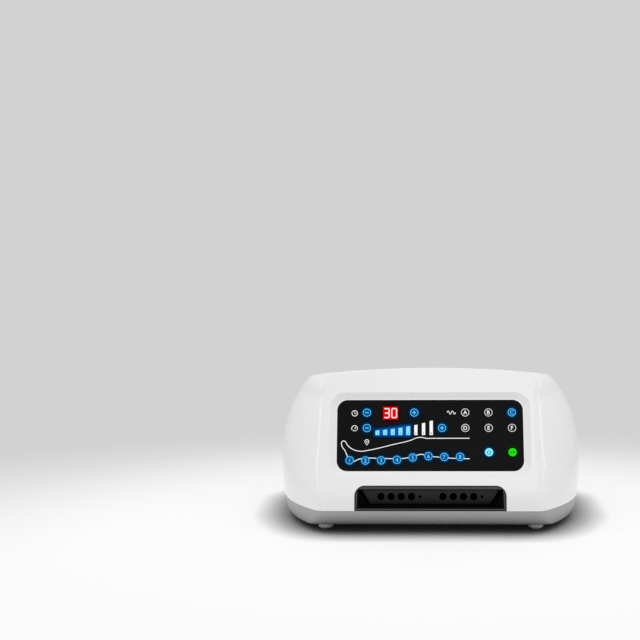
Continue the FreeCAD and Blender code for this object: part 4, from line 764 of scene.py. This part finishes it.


# The marks take the panel's glowing white, so they shine with painted light: no lamp stands behind the
# rocker.
on_mark = stroke([(0, 1.6), (0, -1.6)], ON_LINE, SIGN_WHITE, height=TOP_HIGH)
off_mark = stroke(arc(1.5, 0, 345), OFF_LINE, SIGN_WHITE, closed=True, height=TOP_HIGH)
assemble("rocker_on", [on_mark], 0, 0, "power_rocker", rocker_half(max))
assemble("rocker_off", [off_mark], 0, 0, "power_rocker", rocker_half(min))
print("switch marks: 2")

# %% The leg line
LEG_UPPER = [(-78.9, -20.6), (-81.2, -15.2), (-84.6, -9.6), (-84.2, -6.0), (-81.8, -5.6), (-78.8, -9.8),
             (-73.5, -13.7), (-66.6, -15.4), (-59.0, -14.5), (-34.2, -8.7), (-19.7, -5.2), (-12.0, -2.3),
             (-7.8, -2.0), (-3.5, -2.9), (2.0, -2.9), (37.9, -2.9)]
LEG_LOWER = [(-73.4, -25.9), (-69.0, -23.6), (-65.0, -22.4), (-45.0, -22.4), (-24.9, -22.3), (-15.0, -20.2),
             (-8.3, -18.4), (-3.0, -19.8), (7.0, -21.0), (24.3, -22.4), (37.7, -22.7)]
LEG_WIDTH = 0.72 * MM
LEG_GAP = 0.45 * MM             # bare panel between the line and a key's ring
chambers = [on_panel("chamber_%d_key" % (i + 1)) for i in range(CHAMBER_COUNT)]


def over_a_key(face):
    """Whether a face of a flat line would lie over a chamber key or too near to it."""
    return any((face.center.xy - place).length < KEY_RING + LEG_GAP for place in chambers)


for name, points in (("leg_line_upper", LEG_UPPER), ("leg_line_lower", LEG_LOWER)):
    ribbon = stroke(points, LEG_WIDTH, LINE_WHITE, smooth=True)
    select_faces(ribbon, over_a_key)
    bpy.ops.mesh.delete(type="FACE")
    bpy.ops.object.mode_set(mode="OBJECT")
    assemble(name, [ribbon], 0, 0, "housing")
print("leg lines: 2")

# %% [markdown]
# ## Studio
# The pump stands on white paper in even, soft light.  White surroundings give nearly all of it, which keeps
# a white housing white on every side.  Three soft boxes, one in front and one at each side, add the shine.
# The paper carries a painted pool of light around the pump, which turns into the pale grey backdrop far
# behind it.  A pump on four low feet hides the sky from the paper beneath it, so its shadow is dark and
# tight.  Ambient occlusion paints that shadow onto the paper, as it is seen and as it lights the pump from
# below.

# %% Floor
BACKDROP = "D2D2D3"
# The seen paper carries painted light: a bright pool around the pump and a painted shadow under it.
PAPER, PAPER_SHADOW = "FAFAFA", "080808"        # as it is seen
# As it lights the pump, the paper is duller, and painted shadow darkens it under the pump, which shades the
# tray.
DULL_PAPER, DULL_SHADOW = "CCCCCC", "282828"    # as it lights the pump from below
POOL_PLACE = (0, -0.35, 0)      # the middle of the bright paper
POOL_NEAR, POOL_FAR = 0.35, 0.95        # from there the paper starts and ends turning into the backdrop
SHADOW_REACH, SHADOW_POWER = 0.038, 1.9
LIT_NEAR, LIT_FAR = 0.2, 0.5    # from the pump, the paper's own light starts and ends rising
LIT_SHARE = 0.62                # that light's share near the pump; the rest is paper that the lamps light


def studio_floor():
    """Matte white paper: a painted pool of light, a tight painted shadow at the pump, the pale backdrop far
    behind.
    """
    material, tree = blank("studio_paper")
    place = add(tree, "TexCoord").outputs["Object"]
    # Painted pool of light: the seen paper is brightest around this place and greys into the backdrop.
    pool = add(tree, "VectorMath", {0: place, 1: POOL_PLACE}, operation="DISTANCE")
    back = add(tree, "MapRange", {"Value": pool.outputs["Value"], "From Min": POOL_NEAR,
                                  "From Max": POOL_FAR}, interpolation_type="SMOOTHSTEP")
    # Painted shadow: ambient occlusion darkens the paper at the pump, as it is seen and as it lights the
    # pump.
    near = add(tree, "AmbientOcclusion", {"Distance": SHADOW_REACH}, samples=8)
    deep = add(tree, "Math", {0: near.outputs["AO"], 1: SHADOW_POWER}, operation="POWER")
    paper_tone = add(tree, "Mix", {0: deep.outputs[0], 6: linear(PAPER_SHADOW), 7: linear(PAPER)},
                     data_type="RGBA")
    light_tone = add(tree, "Mix", {0: back.outputs[0], 6: paper_tone.outputs[2], 7: linear(BACKDROP)},
                     data_type="RGBA")
    glow = add(tree, "Emission", {"Color": light_tone.outputs[2], "Strength": 1.0})
    path = add(tree, "LightPath")
    seen = add(tree, "Math", {0: path.outputs["Is Camera Ray"], 1: path.outputs["Is Glossy Ray"]},
               operation="ADD", use_clamp=True)
    seen = add(tree, "Math", {0: seen.outputs[0], 1: path.outputs["Is Transmission Ray"]},
               operation="ADD", use_clamp=True)
    reach = add(tree, "VectorMath", {0: place}, operation="LENGTH")
    share = add(tree, "MapRange", {"Value": reach.outputs["Value"], "From Min": LIT_NEAR, "From Max": LIT_FAR,
                                   "To Min": LIT_SHARE, "To Max": 1.0}, interpolation_type="SMOOTHSTEP")
    share = add(tree, "Math", {0: share.outputs[0], 1: seen.outputs[0]}, operation="MULTIPLY")
    dull_tone = add(tree, "Mix", {0: deep.outputs[0], 6: linear(DULL_SHADOW), 7: linear(DULL_PAPER)},
                    data_type="RGBA")
    tone = add(tree, "Mix", {0: seen.outputs[0], 6: dull_tone.outputs[2], 7: paper_tone.outputs[2]},
               data_type="RGBA")
    paper = add(tree, "BsdfDiffuse", {"Color": tone.outputs[2]})
    mixed = add(tree, "MixShader", {0: share.outputs[0], 1: paper.outputs[0], 2: glow.outputs[0]})
    return finish_with(material, mixed)


bpy.ops.object.select_all(action="DESELECT")
bpy.ops.mesh.primitive_plane_add(size=12.0)
floor = bpy.context.object
floor.name = "floor"
floor.data.materials.append(studio_floor())
print("floor in m:", [round(side, 1) for side in floor.dimensions.xy])

# %% Lamps
LAMP_AIM = Vector((0, 0, 0.08))         # the middle of the pump
SIDE_BOX = (0.5, 0.75)
# A lamp's place and its width and height are in metres, and its power in watts.
LAMPS = {"front": ((0.4, -2.2, 1.4), (1.1, 0.8), 2.0),
         "left": ((-1.9, -0.5, 0.9), SIDE_BOX, 1.8),
         "right": ((1.9, -0.5, 0.9), SIDE_BOX, 1.8)}
for name, (place, size, power) in LAMPS.items():
    bpy.ops.object.light_add(type="AREA", location=place)
    lamp = bpy.context.object
    lamp.name = name
    lamp.data.shape = "RECTANGLE"
    lamp.data.size, lamp.data.size_y = size
    lamp.data.energy = power
    lamp.rotation_euler = (LAMP_AIM - Vector(place)).to_track_quat("-Z", "Y").to_euler()
print("lamps:", len(LAMPS))

# %% World
SKY_LIGHT = 1.05                # brightness of the white surroundings for diffuse light
world = bpy.data.worlds.new("studio")
bpy.context.scene.world = world
world.use_nodes = True
world.node_tree.nodes.clear()
path = add(world.node_tree, "LightPath")
white_light = (SKY_LIGHT, SKY_LIGHT, SKY_LIGHT, 1)
tone = add(world.node_tree, "Mix", {0: path.outputs["Is Diffuse Ray"], 6: linear(BACKDROP), 7: white_light},
           data_type="RGBA")
sky = add(world.node_tree, "Background", {"Color": tone.outputs[2], "Strength": 1.0})
add(world.node_tree, "OutputWorld", {"Surface": sky.outputs[0]})
print("world nodes:", len(world.node_tree.nodes))
